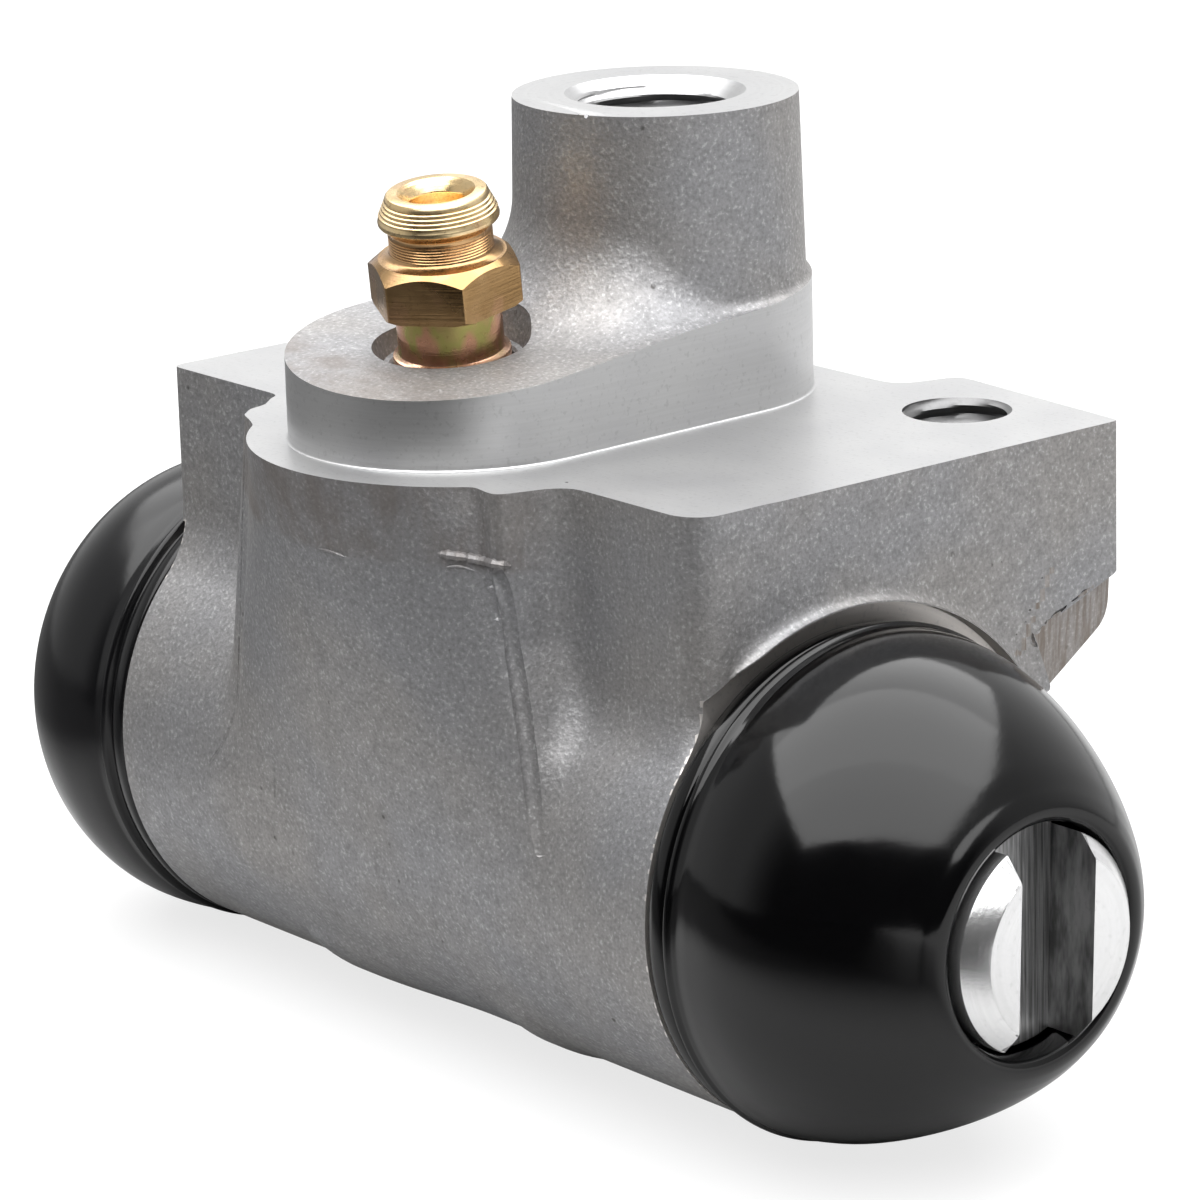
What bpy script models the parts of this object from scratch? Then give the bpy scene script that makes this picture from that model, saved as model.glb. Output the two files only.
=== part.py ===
"""Double-ended drum-brake wheel cylinder.

Frame: metres, +Z up.  z = 0 is the machined mounting face, the bore axis runs
along X at z = -FACE_H, and x = 0 is the middle of the bore.  The bleeder screw
is on the -Y side and the inlet on the +Y side.
"""
import math

import bmesh
import bpy
from mathutils import Matrix, Vector

MM = 0.001

# ---------------------------------------------------------------- dimensions
# All in millimetres.
FACE_H = 26.7            # bore axis to mounting face
BARREL_R = 17.2          # outside of the cast barrel
BARREL_HALF = 29.5       # barrel shoulder to the middle
SPIGOT_R = 15.3          # turned spigot that carries the boot
SPIGOT_END = 33.6
GROOVE_R = 14.5          # boot groove in the spigot
GROOVE_A, GROOVE_B = 30.1, 31.9
BORE_R = 12.7            # 1 inch bore
SPOTFACE_R = 18.7        # clearance turned into the flange ends round the boots

FLANGE_FRONT_L = -10.6   # front faces of the flange, left and right of the neck
FLANGE_FRONT_R = -12.7
FLANGE_BACK = 25.3
NECK_Y, NECK_R = -9.3, 13.6
NECK_LEAN = 5.3          # how far the neck's front comes back by the axis level
NECK_WIDEN = 4.8         # and how much wider its +X side is there
BLEND_R = 7.0            # fillet from the flange fronts into the barrel

BOSS_A = (0.1, -8.4, 11.5)     # boss end round the bleeder: x, y, radius
BOSS_B = (0.0, 9.45, 11.0)    # boss end round the inlet
INLET_Y = 9.95
TOWER_TOP_Z = 20.9
TOWER_R_TOP, TOWER_R_BASE = 9.93, 10.35
TOWER_FILLET = 6.0
INLET_R = 5.1            # 7/16 inch inverted flare port, plain at its minor size
INLET_CHAMFER_R = 6.3
INLET_DEPTH = 14.0
PASSAGE_R = 1.5

MOUNT_X, MOUNT_Y, MOUNT_R, MOUNT_DEPTH = 20.2, 19.3, 3.35, 13.5

BLEED_BASE = (0.1, -8.7, 7.2)            # a point on the bleeder axis
BLEED_LEAN = (0.0769, -0.1388)           # lean of that axis, x and y per unit z
BLEED_HEX_R = 5.4                        # across corners 10.8
COUNTERBORE_R = 5.75
BLEED_HOLE_R = 4.3

PISTON_R = 12.4
PISTON_OUT = 32.4        # outer shoulder of the piston skirt
PISTON_IN = 18.4         # inner face
NOSE_R = 7.45
NOSE_END = 49.9
NOSE_CHAMFER = 1.35
SLOT_W = 6.5
SLOT_DEPTH = 4.0

SPRING_R, SPRING_WIRE_R, SPRING_TURNS, SPRING_HALF = 5.6, 0.5, 8.5, 11.9


# ---------------------------------------------------------------- helpers
for old in list(bpy.data.objects):
    bpy.data.objects.remove(old, do_unlink=True)

PARTS = bpy.data.collections.new("wheel_cylinder")
CUTTERS = bpy.data.collections.new("cutters")
bpy.context.scene.collection.children.link(PARTS)
bpy.context.scene.collection.children.link(CUTTERS)


def material(name, colour, roughness, metallic):
    m = bpy.data.materials.new(name)
    m.use_nodes = True
    bsdf = m.node_tree.nodes["Principled BSDF"]
    bsdf.inputs["Base Color"].default_value = (*colour, 1.0)
    bsdf.inputs["Roughness"].default_value = roughness
    bsdf.inputs["Metallic"].default_value = metallic
    return m


CAST = material("cast_aluminium", (0.42, 0.42, 0.43), 0.55, 1.0)
GOLD = material("yellow_zinc_steel", (0.72, 0.56, 0.30), 0.28, 1.0)
RUBBER = material("black_rubber", (0.012, 0.012, 0.013), 0.25, 0.0)
BRIGHT = material("turned_aluminium", (0.82, 0.82, 0.81), 0.25, 1.0)
SEAL = material("seal_rubber", (0.02, 0.02, 0.02), 0.5, 0.0)
STEEL = material("spring_steel", (0.55, 0.55, 0.56), 0.35, 1.0)


def new_object(name, mesh, mat=None, collection=PARTS):
    obj = bpy.data.objects.new(name, mesh)
    collection.objects.link(obj)
    if mat:
        mesh.materials.append(mat)
    return obj


def as_cutter(obj):
    obj.hide_render = True
    obj.display_type = "WIRE"
    return obj


def boolean(obj, other, operation):
    mod = obj.modifiers.new(operation.lower() + "_" + other.name, "BOOLEAN")
    mod.operation = operation
    mod.solver = "EXACT"
    mod.object = other
    return mod


def turned(name, profile, steps, mat=None, collection=PARTS, closed=False):
    """Profile of (radius, height) in mm, outer side running top to bottom."""
    mesh = bpy.data.meshes.new(name)
    bm = bmesh.new()
    verts = [bm.verts.new((r * MM, 0.0, z * MM)) for r, z in profile]
    for a, b in zip(verts, verts[1:]):
        bm.edges.new((a, b))
    if closed:
        bm.edges.new((verts[-1], verts[0]))
    bm.to_mesh(mesh)
    bm.free()
    obj = new_object(name, mesh, mat, collection)
    screw = obj.modifiers.new("turn", "SCREW")
    screw.axis = "Z"
    screw.angle = 2 * math.pi
    screw.steps = steps
    screw.render_steps = steps
    screw.use_merge_vertices = True
    screw.merge_threshold = 0.00001
    screw.use_smooth_shade = True
    return obj


def rounded(corners, per_corner=5):
    """Corner list of (x, y, fillet radius) to a closed run of points."""
    points = []
    n = len(corners)
    for i, (x, y, r) in enumerate(corners):
        p = Vector((x, y))
        a = Vector(corners[i - 1][:2]) - p
        b = Vector(corners[(i + 1) % n][:2]) - p
        if r <= 0:
            points.append(p)
            continue
        a.normalize()
        b.normalize()
        half = math.acos(max(-1.0, min(1.0, a.dot(b)))) / 2
        reach = r / math.tan(half)
        mid = (a + b).normalized() * (r / math.sin(half))
        centre = p + mid
        start = p + a * reach - centre
        end = p + b * reach - centre
        turn = start.angle_signed(end)
        for k in range(per_corner + 1):
            points.append(centre + Matrix.Rotation(-turn * k / per_corner, 2) @ start)
    return points


def arc(cx, cy, r, a0, a1, n):
    out = []
    for k in range(n + 1):
        t = math.radians(a0 + (a1 - a0) * k / n)
        out.append((cx + r * math.cos(t), cy + r * math.sin(t), 0.0))
    return out


def prism(name, points, z0, z1, mat=None, collection=PARTS):
    """A flat outline (mm) filled and extruded from z0 to z1, made a mesh."""
    curve = bpy.data.curves.new(name, "CURVE")
    curve.dimensions = "2D"
    curve.fill_mode = "BOTH"
    curve.extrude = (z1 - z0) / 2 * MM
    spline = curve.splines.new("POLY")
    spline.points.add(len(points) - 1)
    for p, q in zip(spline.points, points):
        p.co = (q[0] * MM, q[1] * MM, 0.0, 1.0)
    spline.use_cyclic_u = True
    outline = bpy.data.objects.new(name + "_outline", curve)
    CUTTERS.objects.link(outline)
    outline.location = (0.0, 0.0, (z0 + z1) / 2 * MM)
    bpy.context.view_layer.update()
    evaluated = outline.evaluated_get(bpy.context.evaluated_depsgraph_get())
    mesh = bpy.data.meshes.new_from_object(evaluated)
    bm = bmesh.new()
    bm.from_mesh(mesh)
    bmesh.ops.remove_doubles(bm, verts=bm.verts, dist=0.000005)
    bmesh.ops.recalc_face_normals(bm, faces=bm.faces)
    bm.to_mesh(mesh)
    bm.free()
    obj = new_object(name, mesh, mat, collection)
    obj.matrix_world = outline.matrix_world.copy()
    bpy.data.objects.remove(outline, do_unlink=True)
    return obj


def loft(name, sections, mat=None, collection=PARTS):
    """Closed outlines with the same number of points, joined level by level."""
    mesh = bpy.data.meshes.new(name)
    bm = bmesh.new()
    rings = [
        [bm.verts.new((q[0] * MM, q[1] * MM, z * MM)) for q in points]
        for z, points in sections
    ]
    for upper, lower in zip(rings, rings[1:]):
        for i in range(len(upper)):
            j = (i + 1) % len(upper)
            bm.faces.new((upper[i], upper[j], lower[j], lower[i]))
    bm.faces.new(rings[0])
    bm.faces.new(rings[-1])
    bmesh.ops.recalc_face_normals(bm, faces=bm.faces)
    bmesh.ops.triangulate(bm, faces=bm.faces)
    bm.to_mesh(mesh)
    bm.free()
    return new_object(name, mesh, mat, collection)


def block(name, size, centre, rotation=(0, 0, 0), mat=None, collection=None):
    mesh = bpy.data.meshes.new(name)
    bm = bmesh.new()
    bmesh.ops.create_cube(bm, size=1.0)
    bmesh.ops.scale(bm, vec=[s * MM for s in size], verts=bm.verts)
    bm.to_mesh(mesh)
    bm.free()
    obj = new_object(name, mesh, mat, collection or CUTTERS)
    obj.location = [c * MM for c in centre]
    obj.rotation_euler = rotation
    return obj


ALONG_PX = (0.0, math.pi / 2, 0.0)       # local +Z to world +X
ALONG_NX = (0.0, -math.pi / 2, 0.0)      # local +Z to world -X
BORE_Z = -FACE_H * MM

# ---------------------------------------------------------------- casting
# Barrel with its two turned spigots, as one turned form.
half = [
    (0.0, SPIGOT_END),
    (SPIGOT_R - 0.5, SPIGOT_END),
    (SPIGOT_R, SPIGOT_END - 0.5),
    (SPIGOT_R, GROOVE_B),
    (GROOVE_R, GROOVE_B),
    (GROOVE_R, GROOVE_A),
    (SPIGOT_R, GROOVE_A),
    (SPIGOT_R, BARREL_HALF),
    (BARREL_R - 0.3, BARREL_HALF),
    (BARREL_R, BARREL_HALF - 0.3),
]
barrel_profile = half + [(r, -z) for r, z in reversed(half)]
body = turned("cylinder_body", barrel_profile, 64, CAST)
body.location = (0.0, 0.0, BORE_Z)
body.rotation_euler = ALONG_PX

# Flange with the neck round the bleeder.  Its plan is drawn at several levels:
# the neck leans back and widens on its way down to the barrel, and the flat
# fronts run into the barrel through a fillet.
def front_flare(height):
    """How far the flat fronts have moved towards -Y at a height over the axis."""
    plane, r = -FLANGE_FRONT_R, BLEND_R
    level = math.sqrt((BARREL_R + r) ** 2 - (plane + r) ** 2)
    foot = level * BARREL_R / (BARREL_R + r)
    if height >= level:
        return 0.0
    if height <= foot:
        inside = min(0.8, (foot - height) * 0.25)
        return math.sqrt(BARREL_R ** 2 - height ** 2) - inside - plane
    return r - math.sqrt(r * r - (height - level) ** 2)


def flange_plan(level):
    height = level + FACE_H
    down = min(1.0, -level / FACE_H)             # 0 at the face, 1 at the axis
    under = max(0.0, -height) * 0.4              # below the axis it runs out
    front = NECK_Y - NECK_R + NECK_LEAN * down + under
    left = -11.2 - NECK_WIDEN * 0.7 * down ** 3
    right = 13.2 + NECK_WIDEN * down ** 1.3
    edge = -17.25 + under
    sag = max(0.1, edge - front)
    chord = (right - left) / 2
    r = (chord * chord + sag * sag) / (2 * sag)
    span = math.degrees(math.asin(min(1.0, chord / r)))
    neck = arc((left + right) / 2, front + r, r, -90.0 - span, -90.0 + span, 16)
    flare = front_flare(height)
    left_flare = max(0.0, flare + FLANGE_FRONT_L - FLANGE_FRONT_R) if flare else 0.0
    return rounded(
        [
            (30.1, FLANGE_BACK - 0.2, 0.8),
            (13.0, FLANGE_BACK + 1.2, 1.2),
            (11.6, 21.5, 2.2),
            (-11.6, 21.5, 2.2),
            (-13.0, FLANGE_BACK + 1.2, 1.2),
            (-30.8, FLANGE_BACK - 0.2, 0.8),
            (-30.3, FLANGE_FRONT_L + 1.2 - left_flare, 0.7),
            (left - 5.7, FLANGE_FRONT_L - 0.5 - left_flare * 0.9, 0.5),
            (left - 3.5, -15.8 - 1.3 * down + under, 0.4),
        ]
        + neck
        + [
            (right + 2.2 - 1.2 * down, -16.9 - 0.2 * down + under, 0.7),
            (right + 4.4 - 1.5 * down, FLANGE_FRONT_R - 0.2 - flare * 0.95, 1.2),
            (25.0, FLANGE_FRONT_R - flare, 0.0),
            (30.1, FLANGE_FRONT_R - 0.1 - flare, 2.2),
        ],
        per_corner=3,
    )


flange = as_cutter(
    loft(
        "flange",
        [(z, flange_plan(z)) for z in (0.0, -5.0, -9.0, -12.7, -13.9, -15.1, -16.3, -17.5, -20.0, -23.0, -26.7, -31.0)],
        collection=CUTTERS,
    )
)

# The overhang behind the barrel: its underside slopes up at about 30 degrees.
under = block(
    "flange_under_cut",
    (80.0, 40.0, 20.0),
    (0.0, 0.0, 0.0),
)
slope = math.radians(29.5)
under_centre = Vector((0.0, 21.2, 10.45 - FACE_H)) + Vector(
    (0.0, math.cos(slope), math.sin(slope))
) * 6.0 - Vector((0.0, -math.sin(slope), math.cos(slope))) * 10.0
under.location = under_centre * MM
under.rotation_euler = (slope, 0.0, 0.0)
boolean(flange, as_cutter(under), "DIFFERENCE")

# The flange ends are spot-faced round the boots.
spot = turned(
    "spotface",
    [(0.0, 8.0), (SPOTFACE_R, 8.0), (SPOTFACE_R, 0.0), (0.0, 0.0)],
    72,
    collection=CUTTERS,
)
spot.location = ((BARREL_HALF - 0.1) * MM, 0.0, BORE_Z)
spot.rotation_euler = ALONG_PX
boolean(flange, as_cutter(spot), "DIFFERENCE")
spot_rear = new_object("spotface_rear", spot.data, collection=CUTTERS)
for mod in spot.modifiers:
    copy = spot_rear.modifiers.new(mod.name, mod.type)
    copy.axis, copy.angle = mod.axis, mod.angle
    copy.steps, copy.render_steps = mod.steps, mod.render_steps
    copy.use_merge_vertices, copy.merge_threshold = True, mod.merge_threshold
spot_rear.location = (-(BARREL_HALF - 0.1) * MM, 0.0, BORE_Z)
spot_rear.rotation_euler = ALONG_NX
boolean(flange, as_cutter(spot_rear), "DIFFERENCE")
boolean(body, flange, "UNION")


# Boss: a long oval standing on the face, its top cut square to the bleeder.
def oval(grow=0.0, n=20):
    ax, ay, ar = BOSS_A
    bx, by, br = BOSS_B
    tilt = math.degrees(math.asin((ar - br) / (by - ay)))
    far = arc(bx, by, br + grow, tilt, 180.0 - tilt, n)
    near = arc(ax, ay, ar + grow, 180.0 - tilt, 360.0 + tilt, n)
    return far + near


boss = as_cutter(prism("boss", oval(), -4.0, 12.0, collection=CUTTERS))
axis = Vector((BLEED_LEAN[0], BLEED_LEAN[1], 1.0)).normalized()
to_axis = Vector((0.0, 0.0, 1.0)).rotation_difference(axis).to_matrix().to_4x4()
boss_top = Vector(BLEED_BASE) - axis * 0.55
cut_a = block("boss_top_cut", (60.0, 60.0, 20.0), (0, 0, 0))
cut_a.matrix_world = Matrix.Translation((boss_top + axis * 10.0) * MM) @ to_axis
boolean(boss, as_cutter(cut_a), "DIFFERENCE")
cut_b = block("boss_back_cut", (60.0, 60.0, 20.0), (0.0, 0.0, 17.1), (0.055, 0.04, 0.0))
boolean(boss, as_cutter(cut_b), "DIFFERENCE")
boolean(body, boss, "UNION")

# Inlet tower, and the large fillet that runs down from it inside the oval.
tower = as_cutter(
    turned(
        "tower",
        [(0.0, TOWER_TOP_Z), (TOWER_R_TOP, TOWER_TOP_Z), (TOWER_R_BASE, 3.0), (0.0, 3.0)],
        64,
        collection=CUTTERS,
    )
)
tower.location = (0.0, INLET_Y * MM, 0.0)
foot_r = TOWER_R_TOP + 0.1
fillet_profile = [(0.0, 7.0 + TOWER_FILLET), (foot_r, 7.0 + TOWER_FILLET)]
for k in range(1, 9):
    t = math.pi / 2 * k / 8
    fillet_profile.append(
        (foot_r + TOWER_FILLET * (1 - math.cos(t)), 7.0 + TOWER_FILLET * (1 - math.sin(t)))
    )
fillet_profile += [(foot_r + TOWER_FILLET, 2.0), (0.0, 2.0)]
fillet = as_cutter(turned("tower_fillet", fillet_profile, 64, collection=CUTTERS))
fillet.location = (0.0, INLET_Y * MM, 0.0)
fillet_bound = as_cutter(prism("fillet_bound", oval(-0.06), -3.0, 16.0, collection=CUTTERS))
boolean(fillet, fillet_bound, "INTERSECT")
boolean(body, fillet, "UNION")
boolean(body, tower, "UNION")

# Bore.
bore = turned(
    "bore",
    [(0.0, 40.0), (BORE_R + 0.9, 40.0), (BORE_R + 0.9, SPIGOT_END + 0.3), (BORE_R, SPIGOT_END - 0.6),
     (BORE_R, -SPIGOT_END + 0.6), (BORE_R + 0.9, -SPIGOT_END - 0.3), (BORE_R + 0.9, -40.0), (0.0, -40.0)],
    72,
    collection=CUTTERS,
)
bore.location = (0.0, 0.0, BORE_Z)
bore.rotation_euler = ALONG_PX
boolean(body, as_cutter(bore), "DIFFERENCE")

# Inlet port with its passage down to the bore.
top = TOWER_TOP_Z
inlet = turned(
    "inlet_port",
    [
        (0.0, top + 1.0),
        (INLET_CHAMFER_R + 0.3, top + 1.0),
        (INLET_CHAMFER_R + 0.3, top + 0.28),
        (INLET_R, top - 1.1),
        (INLET_R, top - INLET_DEPTH),
        (PASSAGE_R, top - INLET_DEPTH - 1.4),
        (PASSAGE_R, -23.0),
        (0.0, -23.0),
    ],
    48,
    collection=CUTTERS,
)
inlet.location = (0.0, INLET_Y * MM, 0.0)
boolean(body, as_cutter(inlet), "DIFFERENCE")

# Bleeder hole: counterbore, tapped part, cone seat and passage.
bleed_hole = turned(
    "bleeder_hole",
    [
        (0.0, 6.0),
        (COUNTERBORE_R, 6.0),
        (COUNTERBORE_R, -2.4),
        (BLEED_HOLE_R, -2.4),
        (BLEED_HOLE_R, -12.6),
        (1.2, -15.7),
        (1.2, -26.0),
        (0.0, -26.0),
    ],
    40,
    collection=CUTTERS,
)
bleed_hole.matrix_world = Matrix.Translation(Vector(BLEED_BASE) * MM) @ to_axis
boolean(body, as_cutter(bleed_hole), "DIFFERENCE")

# Two tapped mounting holes, blind, with a drill-point floor.
for side, label in ((1, "front"), (-1, "rear")):
    hole = turned(
        "mount_hole_" + label,
        [(0.0, 1.0), (MOUNT_R, 1.0), (MOUNT_R, -MOUNT_DEPTH), (0.0, -MOUNT_DEPTH - 1.9)],
        32,
        collection=CUTTERS,
    )
    hole.location = (side * MOUNT_X * MM, MOUNT_Y * MM, 0.0)
    boolean(body, as_cutter(hole), "DIFFERENCE")


# ---------------------------------------------------------------- boots
def boot_profile():
    outer = [
        (7.75, 47.3),
        (8.0, 48.0),
        (8.6, 48.2),
        (9.5, 47.8),
        (11.2, 46.3),
        (12.9, 44.3),
        (14.5, 41.9),
        (15.8, 39.2),
        (16.7, 36.4),
        (17.2, 33.8),
        (17.35, 32.3),
        (17.6, 31.9),
        (17.6, 31.6),
        (17.1, 31.4),
        (17.1, 31.1),
        (17.25, 30.9),
        (17.25, 30.1),
        (17.0, 29.8),
    ]
    inner = [
        (15.6, 29.8),
        (15.6, 30.3),
        (14.8, 30.5),
        (14.8, 31.4),
        (15.6, 31.6),
        (15.6, 34.2),
        (15.1, 36.1),
        (14.2, 38.7),
        (13.0, 41.1),
        (11.5, 43.3),
        (9.9, 45.2),
        (8.9, 46.0),
        (7.75, 46.3),
    ]
    return outer + inner


boots = {}
for name, turn in (("boot_front", ALONG_PX), ("boot_rear", ALONG_NX)):
    boot = turned(name, boot_profile(), 44, RUBBER, closed=True)
    boot.location = (0.0, 0.0, BORE_Z)
    boot.rotation_euler = turn
    boots[name] = boot


# ---------------------------------------------------------------- pistons
piston_profile = [
    (0.0, NOSE_END),
    (NOSE_R - NOSE_CHAMFER, NOSE_END),
    (NOSE_R, NOSE_END - NOSE_CHAMFER),
    (NOSE_R, PISTON_OUT + 0.5),
    (NOSE_R + 0.5, PISTON_OUT),
    (PISTON_R - 0.5, PISTON_OUT),
    (PISTON_R, PISTON_OUT - 0.5),
    (PISTON_R, PISTON_IN + 0.5),
    (PISTON_R - 0.5, PISTON_IN),
    (0.0, PISTON_IN),
]
cup_profile = [
    (12.4, 13.3),
    (12.4, 16.9),
    (11.8, 18.1),
    (0.0, 18.1),
]
cup_inner = [(0.0, 15.6), (9.4, 15.6), (10.6, 13.0), (12.0, 13.0)]
expander_outer = [
    (0.0, 15.3),
    (8.9, 15.3),
    (9.2, 15.0),
    (10.2, 12.9),
    (9.6, 12.6),
    (8.6, 14.6),
    (4.6, 14.6),
    (4.3, 12.4),
    (3.6, 11.8),
    (0.0, 11.8),
]

for label, turn, sign in (("front", ALONG_PX, 1.0), ("rear", ALONG_NX, -1.0)):
    piston = turned("piston_" + label, piston_profile, 48, BRIGHT)
    piston.location = (0.0, 0.0, BORE_Z)
    piston.rotation_euler = turn
    slot = as_cutter(
        block(
            "slot_" + label,
            (12.0, SLOT_W, 30.0),
            (sign * (NOSE_END - SLOT_DEPTH + 6.0), 0.0, -FACE_H),
        )
    )
    boolean(piston, slot, "DIFFERENCE")

    # Cup: flat towards the piston, its lip towards the fluid.
    cup = turned("cup_seal_" + label, list(reversed(cup_profile)) + [(12.0, 13.0)]
                 + list(reversed(cup_inner))[1:], 48, SEAL)
    cup.location = (0.0, 0.0, BORE_Z)
    cup.rotation_euler = turn

    expander = turned("cup_expander_" + label, expander_outer, 32, STEEL)
    expander.location = (0.0, 0.0, BORE_Z)
    expander.rotation_euler = turn

# ---------------------------------------------------------------- spring
# A coil whose end turns close up against the expanders.
count = int(SPRING_TURNS * 12)
curve = bpy.data.curves.new("return_spring", "CURVE")
curve.dimensions = "3D"
curve.bevel_depth = SPRING_WIRE_R * MM
curve.bevel_resolution = 2
curve.use_fill_caps = True
spline = curve.splines.new("POLY")
spline.points.add(count)
inside = SPRING_HALF - SPRING_WIRE_R
for k, point in enumerate(spline.points):
    t = k / count
    turns = SPRING_TURNS * t
    closed_part = 1.0 / SPRING_TURNS
    if t < closed_part:
        rise = 0.045 * (t / closed_part)
    elif t > 1 - closed_part:
        rise = 1.0 - 0.045 * ((1 - t) / closed_part)
    else:
        rise = 0.045 + 0.91 * (t - closed_part) / (1 - 2 * closed_part)
    angle = 2 * math.pi * turns
    point.co = (
        SPRING_R * math.cos(angle) * MM,
        SPRING_R * math.sin(angle) * MM,
        (-inside + 2 * inside * rise) * MM,
        1.0,
    )
spring = bpy.data.objects.new("return_spring", curve)
PARTS.objects.link(spring)
curve.materials.append(STEEL)
spring.location = (0.0, 0.0, BORE_Z)
spring.rotation_euler = ALONG_PX

# ---------------------------------------------------------------- bleeder
# Heights run along the bleeder's own axis, from BLEED_BASE.
bleeder = turned(
    "bleeder_screw",
    [
        (0.0, 9.9),
        (3.3, 9.9),
        (3.5, 9.75),
        (4.15, 8.2),
        (4.1, 7.9),
        (3.6, 7.15),
        (3.5, 6.0),
        (3.7, 5.75),
        (4.1, 5.65),
        (4.1, 5.25),
        (3.6, 5.1),
        (3.6, 2.2),
        (3.6, -1.4),
        (4.0, -1.7),
        (4.0, -12.0),
        (2.6, -13.3),
        (0.9, -14.9),
        (0.0, -14.9),
    ],
    40,
    GOLD,
)
bleeder.matrix_world = Matrix.Translation(Vector(BLEED_BASE) * MM) @ to_axis

hexagon_mesh = bpy.data.meshes.new("hexagon")
bm = bmesh.new()
bmesh.ops.create_cone(
    bm, cap_ends=True, segments=6,
    radius1=BLEED_HEX_R * MM, radius2=BLEED_HEX_R * MM, depth=3.4 * MM,
    matrix=Matrix.Translation((0, 0, 3.7 * MM)) @ Matrix.Rotation(math.radians(34.0), 4, "Z"),
)
bm.to_mesh(hexagon_mesh)
bm.free()
hexagon = new_object("hexagon", hexagon_mesh, collection=CUTTERS)
hexagon.matrix_world = bleeder.matrix_world.copy()
hex_chamfer = turned(
    "hexagon_chamfer",
    [(0.0, 6.0), (4.35, 5.5), (5.6, 4.85), (5.6, 2.15), (5.1, 1.9), (0.0, 1.9)],
    48,
    collection=CUTTERS,
)
hex_chamfer.matrix_world = bleeder.matrix_world.copy()
boolean(hexagon, as_cutter(hex_chamfer), "INTERSECT")
boolean(bleeder, as_cutter(hexagon), "UNION")

axial = turned(
    "bleeder_bore",
    [(0.0, 11.0), (2.6, 11.0), (2.6, 9.9), (1.95, 9.0), (1.95, -10.5), (0.0, -11.5)],
    32,
    collection=CUTTERS,
)
axial.matrix_world = bleeder.matrix_world.copy()
boolean(bleeder, as_cutter(axial), "DIFFERENCE")
cross = turned("bleeder_cross_hole", [(0.0, 8.0), (0.8, 8.0), (0.8, -8.0), (0.0, -8.0)], 16, collection=CUTTERS)
cross.matrix_world = (
    bleeder.matrix_world @ Matrix.Translation((0, 0, -9.5 * MM)) @ Matrix.Rotation(math.pi / 2, 4, "X")
)
boolean(bleeder, as_cutter(cross), "DIFFERENCE")

for obj in PARTS.objects:
    if obj.type == "MESH" and obj.name.startswith("boot"):
        obj.data.shade_smooth()
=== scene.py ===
"""Looks of the double-ended wheel cylinder: die-cast body with its machined
faces, zinc-plated bleeder, rubber boots and turned pistons.

Sizes are in millimetres in the part's frame (z = 0 is the mounting face, the
bore runs along X at z = -26.7) and become metres when a mesh is made.
"""

import math

import bmesh
import bpy
import numpy as np
import openvdb
from mathutils import Matrix, Vector


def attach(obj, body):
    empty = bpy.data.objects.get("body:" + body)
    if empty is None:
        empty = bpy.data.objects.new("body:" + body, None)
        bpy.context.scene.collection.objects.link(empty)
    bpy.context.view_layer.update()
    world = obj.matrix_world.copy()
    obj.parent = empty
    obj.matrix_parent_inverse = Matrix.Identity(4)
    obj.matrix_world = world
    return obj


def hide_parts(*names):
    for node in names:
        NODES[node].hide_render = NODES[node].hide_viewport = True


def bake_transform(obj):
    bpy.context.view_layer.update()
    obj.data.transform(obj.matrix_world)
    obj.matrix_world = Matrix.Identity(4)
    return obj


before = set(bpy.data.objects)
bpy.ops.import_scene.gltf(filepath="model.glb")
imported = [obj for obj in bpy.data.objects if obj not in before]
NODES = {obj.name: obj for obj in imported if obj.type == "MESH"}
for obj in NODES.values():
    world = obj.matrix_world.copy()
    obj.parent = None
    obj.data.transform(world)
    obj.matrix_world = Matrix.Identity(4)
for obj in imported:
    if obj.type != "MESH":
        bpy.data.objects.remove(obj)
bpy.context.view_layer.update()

MM = 0.001
FACE_H = 26.7
RNG = np.random.default_rng(7)

# ------------------------------------------------------------------ camera
CAM = (0.278660, -0.222840, 0.086066)
CAM_RIGHT = (0.63655977, 0.77075242, -0.02706237)
CAM_UP = (-0.19117105, 0.19168749, 0.96265754)
CAM_BACK = (0.74715814, -0.60761552, 0.26936609)
camera_data = bpy.data.cameras.new("camera")
camera_data.sensor_width = 36.0
camera_data.lens = 159.58
camera_data.clip_start = 0.01
camera_data.clip_end = 20.0
camera = bpy.data.objects.new("camera", camera_data)
bpy.context.scene.collection.objects.link(camera)
camera.matrix_world = Matrix(
    [[CAM_RIGHT[i], CAM_UP[i], CAM_BACK[i], CAM[i]] for i in range(3)] + [[0, 0, 0, 1]]
)
bpy.context.scene.camera = camera
bpy.context.scene.view_settings.view_transform = "Standard"


# ------------------------------------------------------------------ helpers
def add_object(name, mesh):
    obj = bpy.data.objects.new(name, mesh)
    bpy.context.scene.collection.objects.link(obj)
    return obj


def mesh_object(name, verts, faces):
    """Vertices in mm; faces as lists or an array."""
    mesh = bpy.data.meshes.new(name)
    mesh.from_pydata((np.asarray(verts, float) * MM).tolist(), [], [list(map(int, f)) for f in faces])
    mesh.validate()
    return add_object(name, mesh)


def smooth(obj, angle=35.0):
    obj.data.shade_smooth()
    obj.data.set_sharp_from_angle(angle=math.radians(angle))


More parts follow.
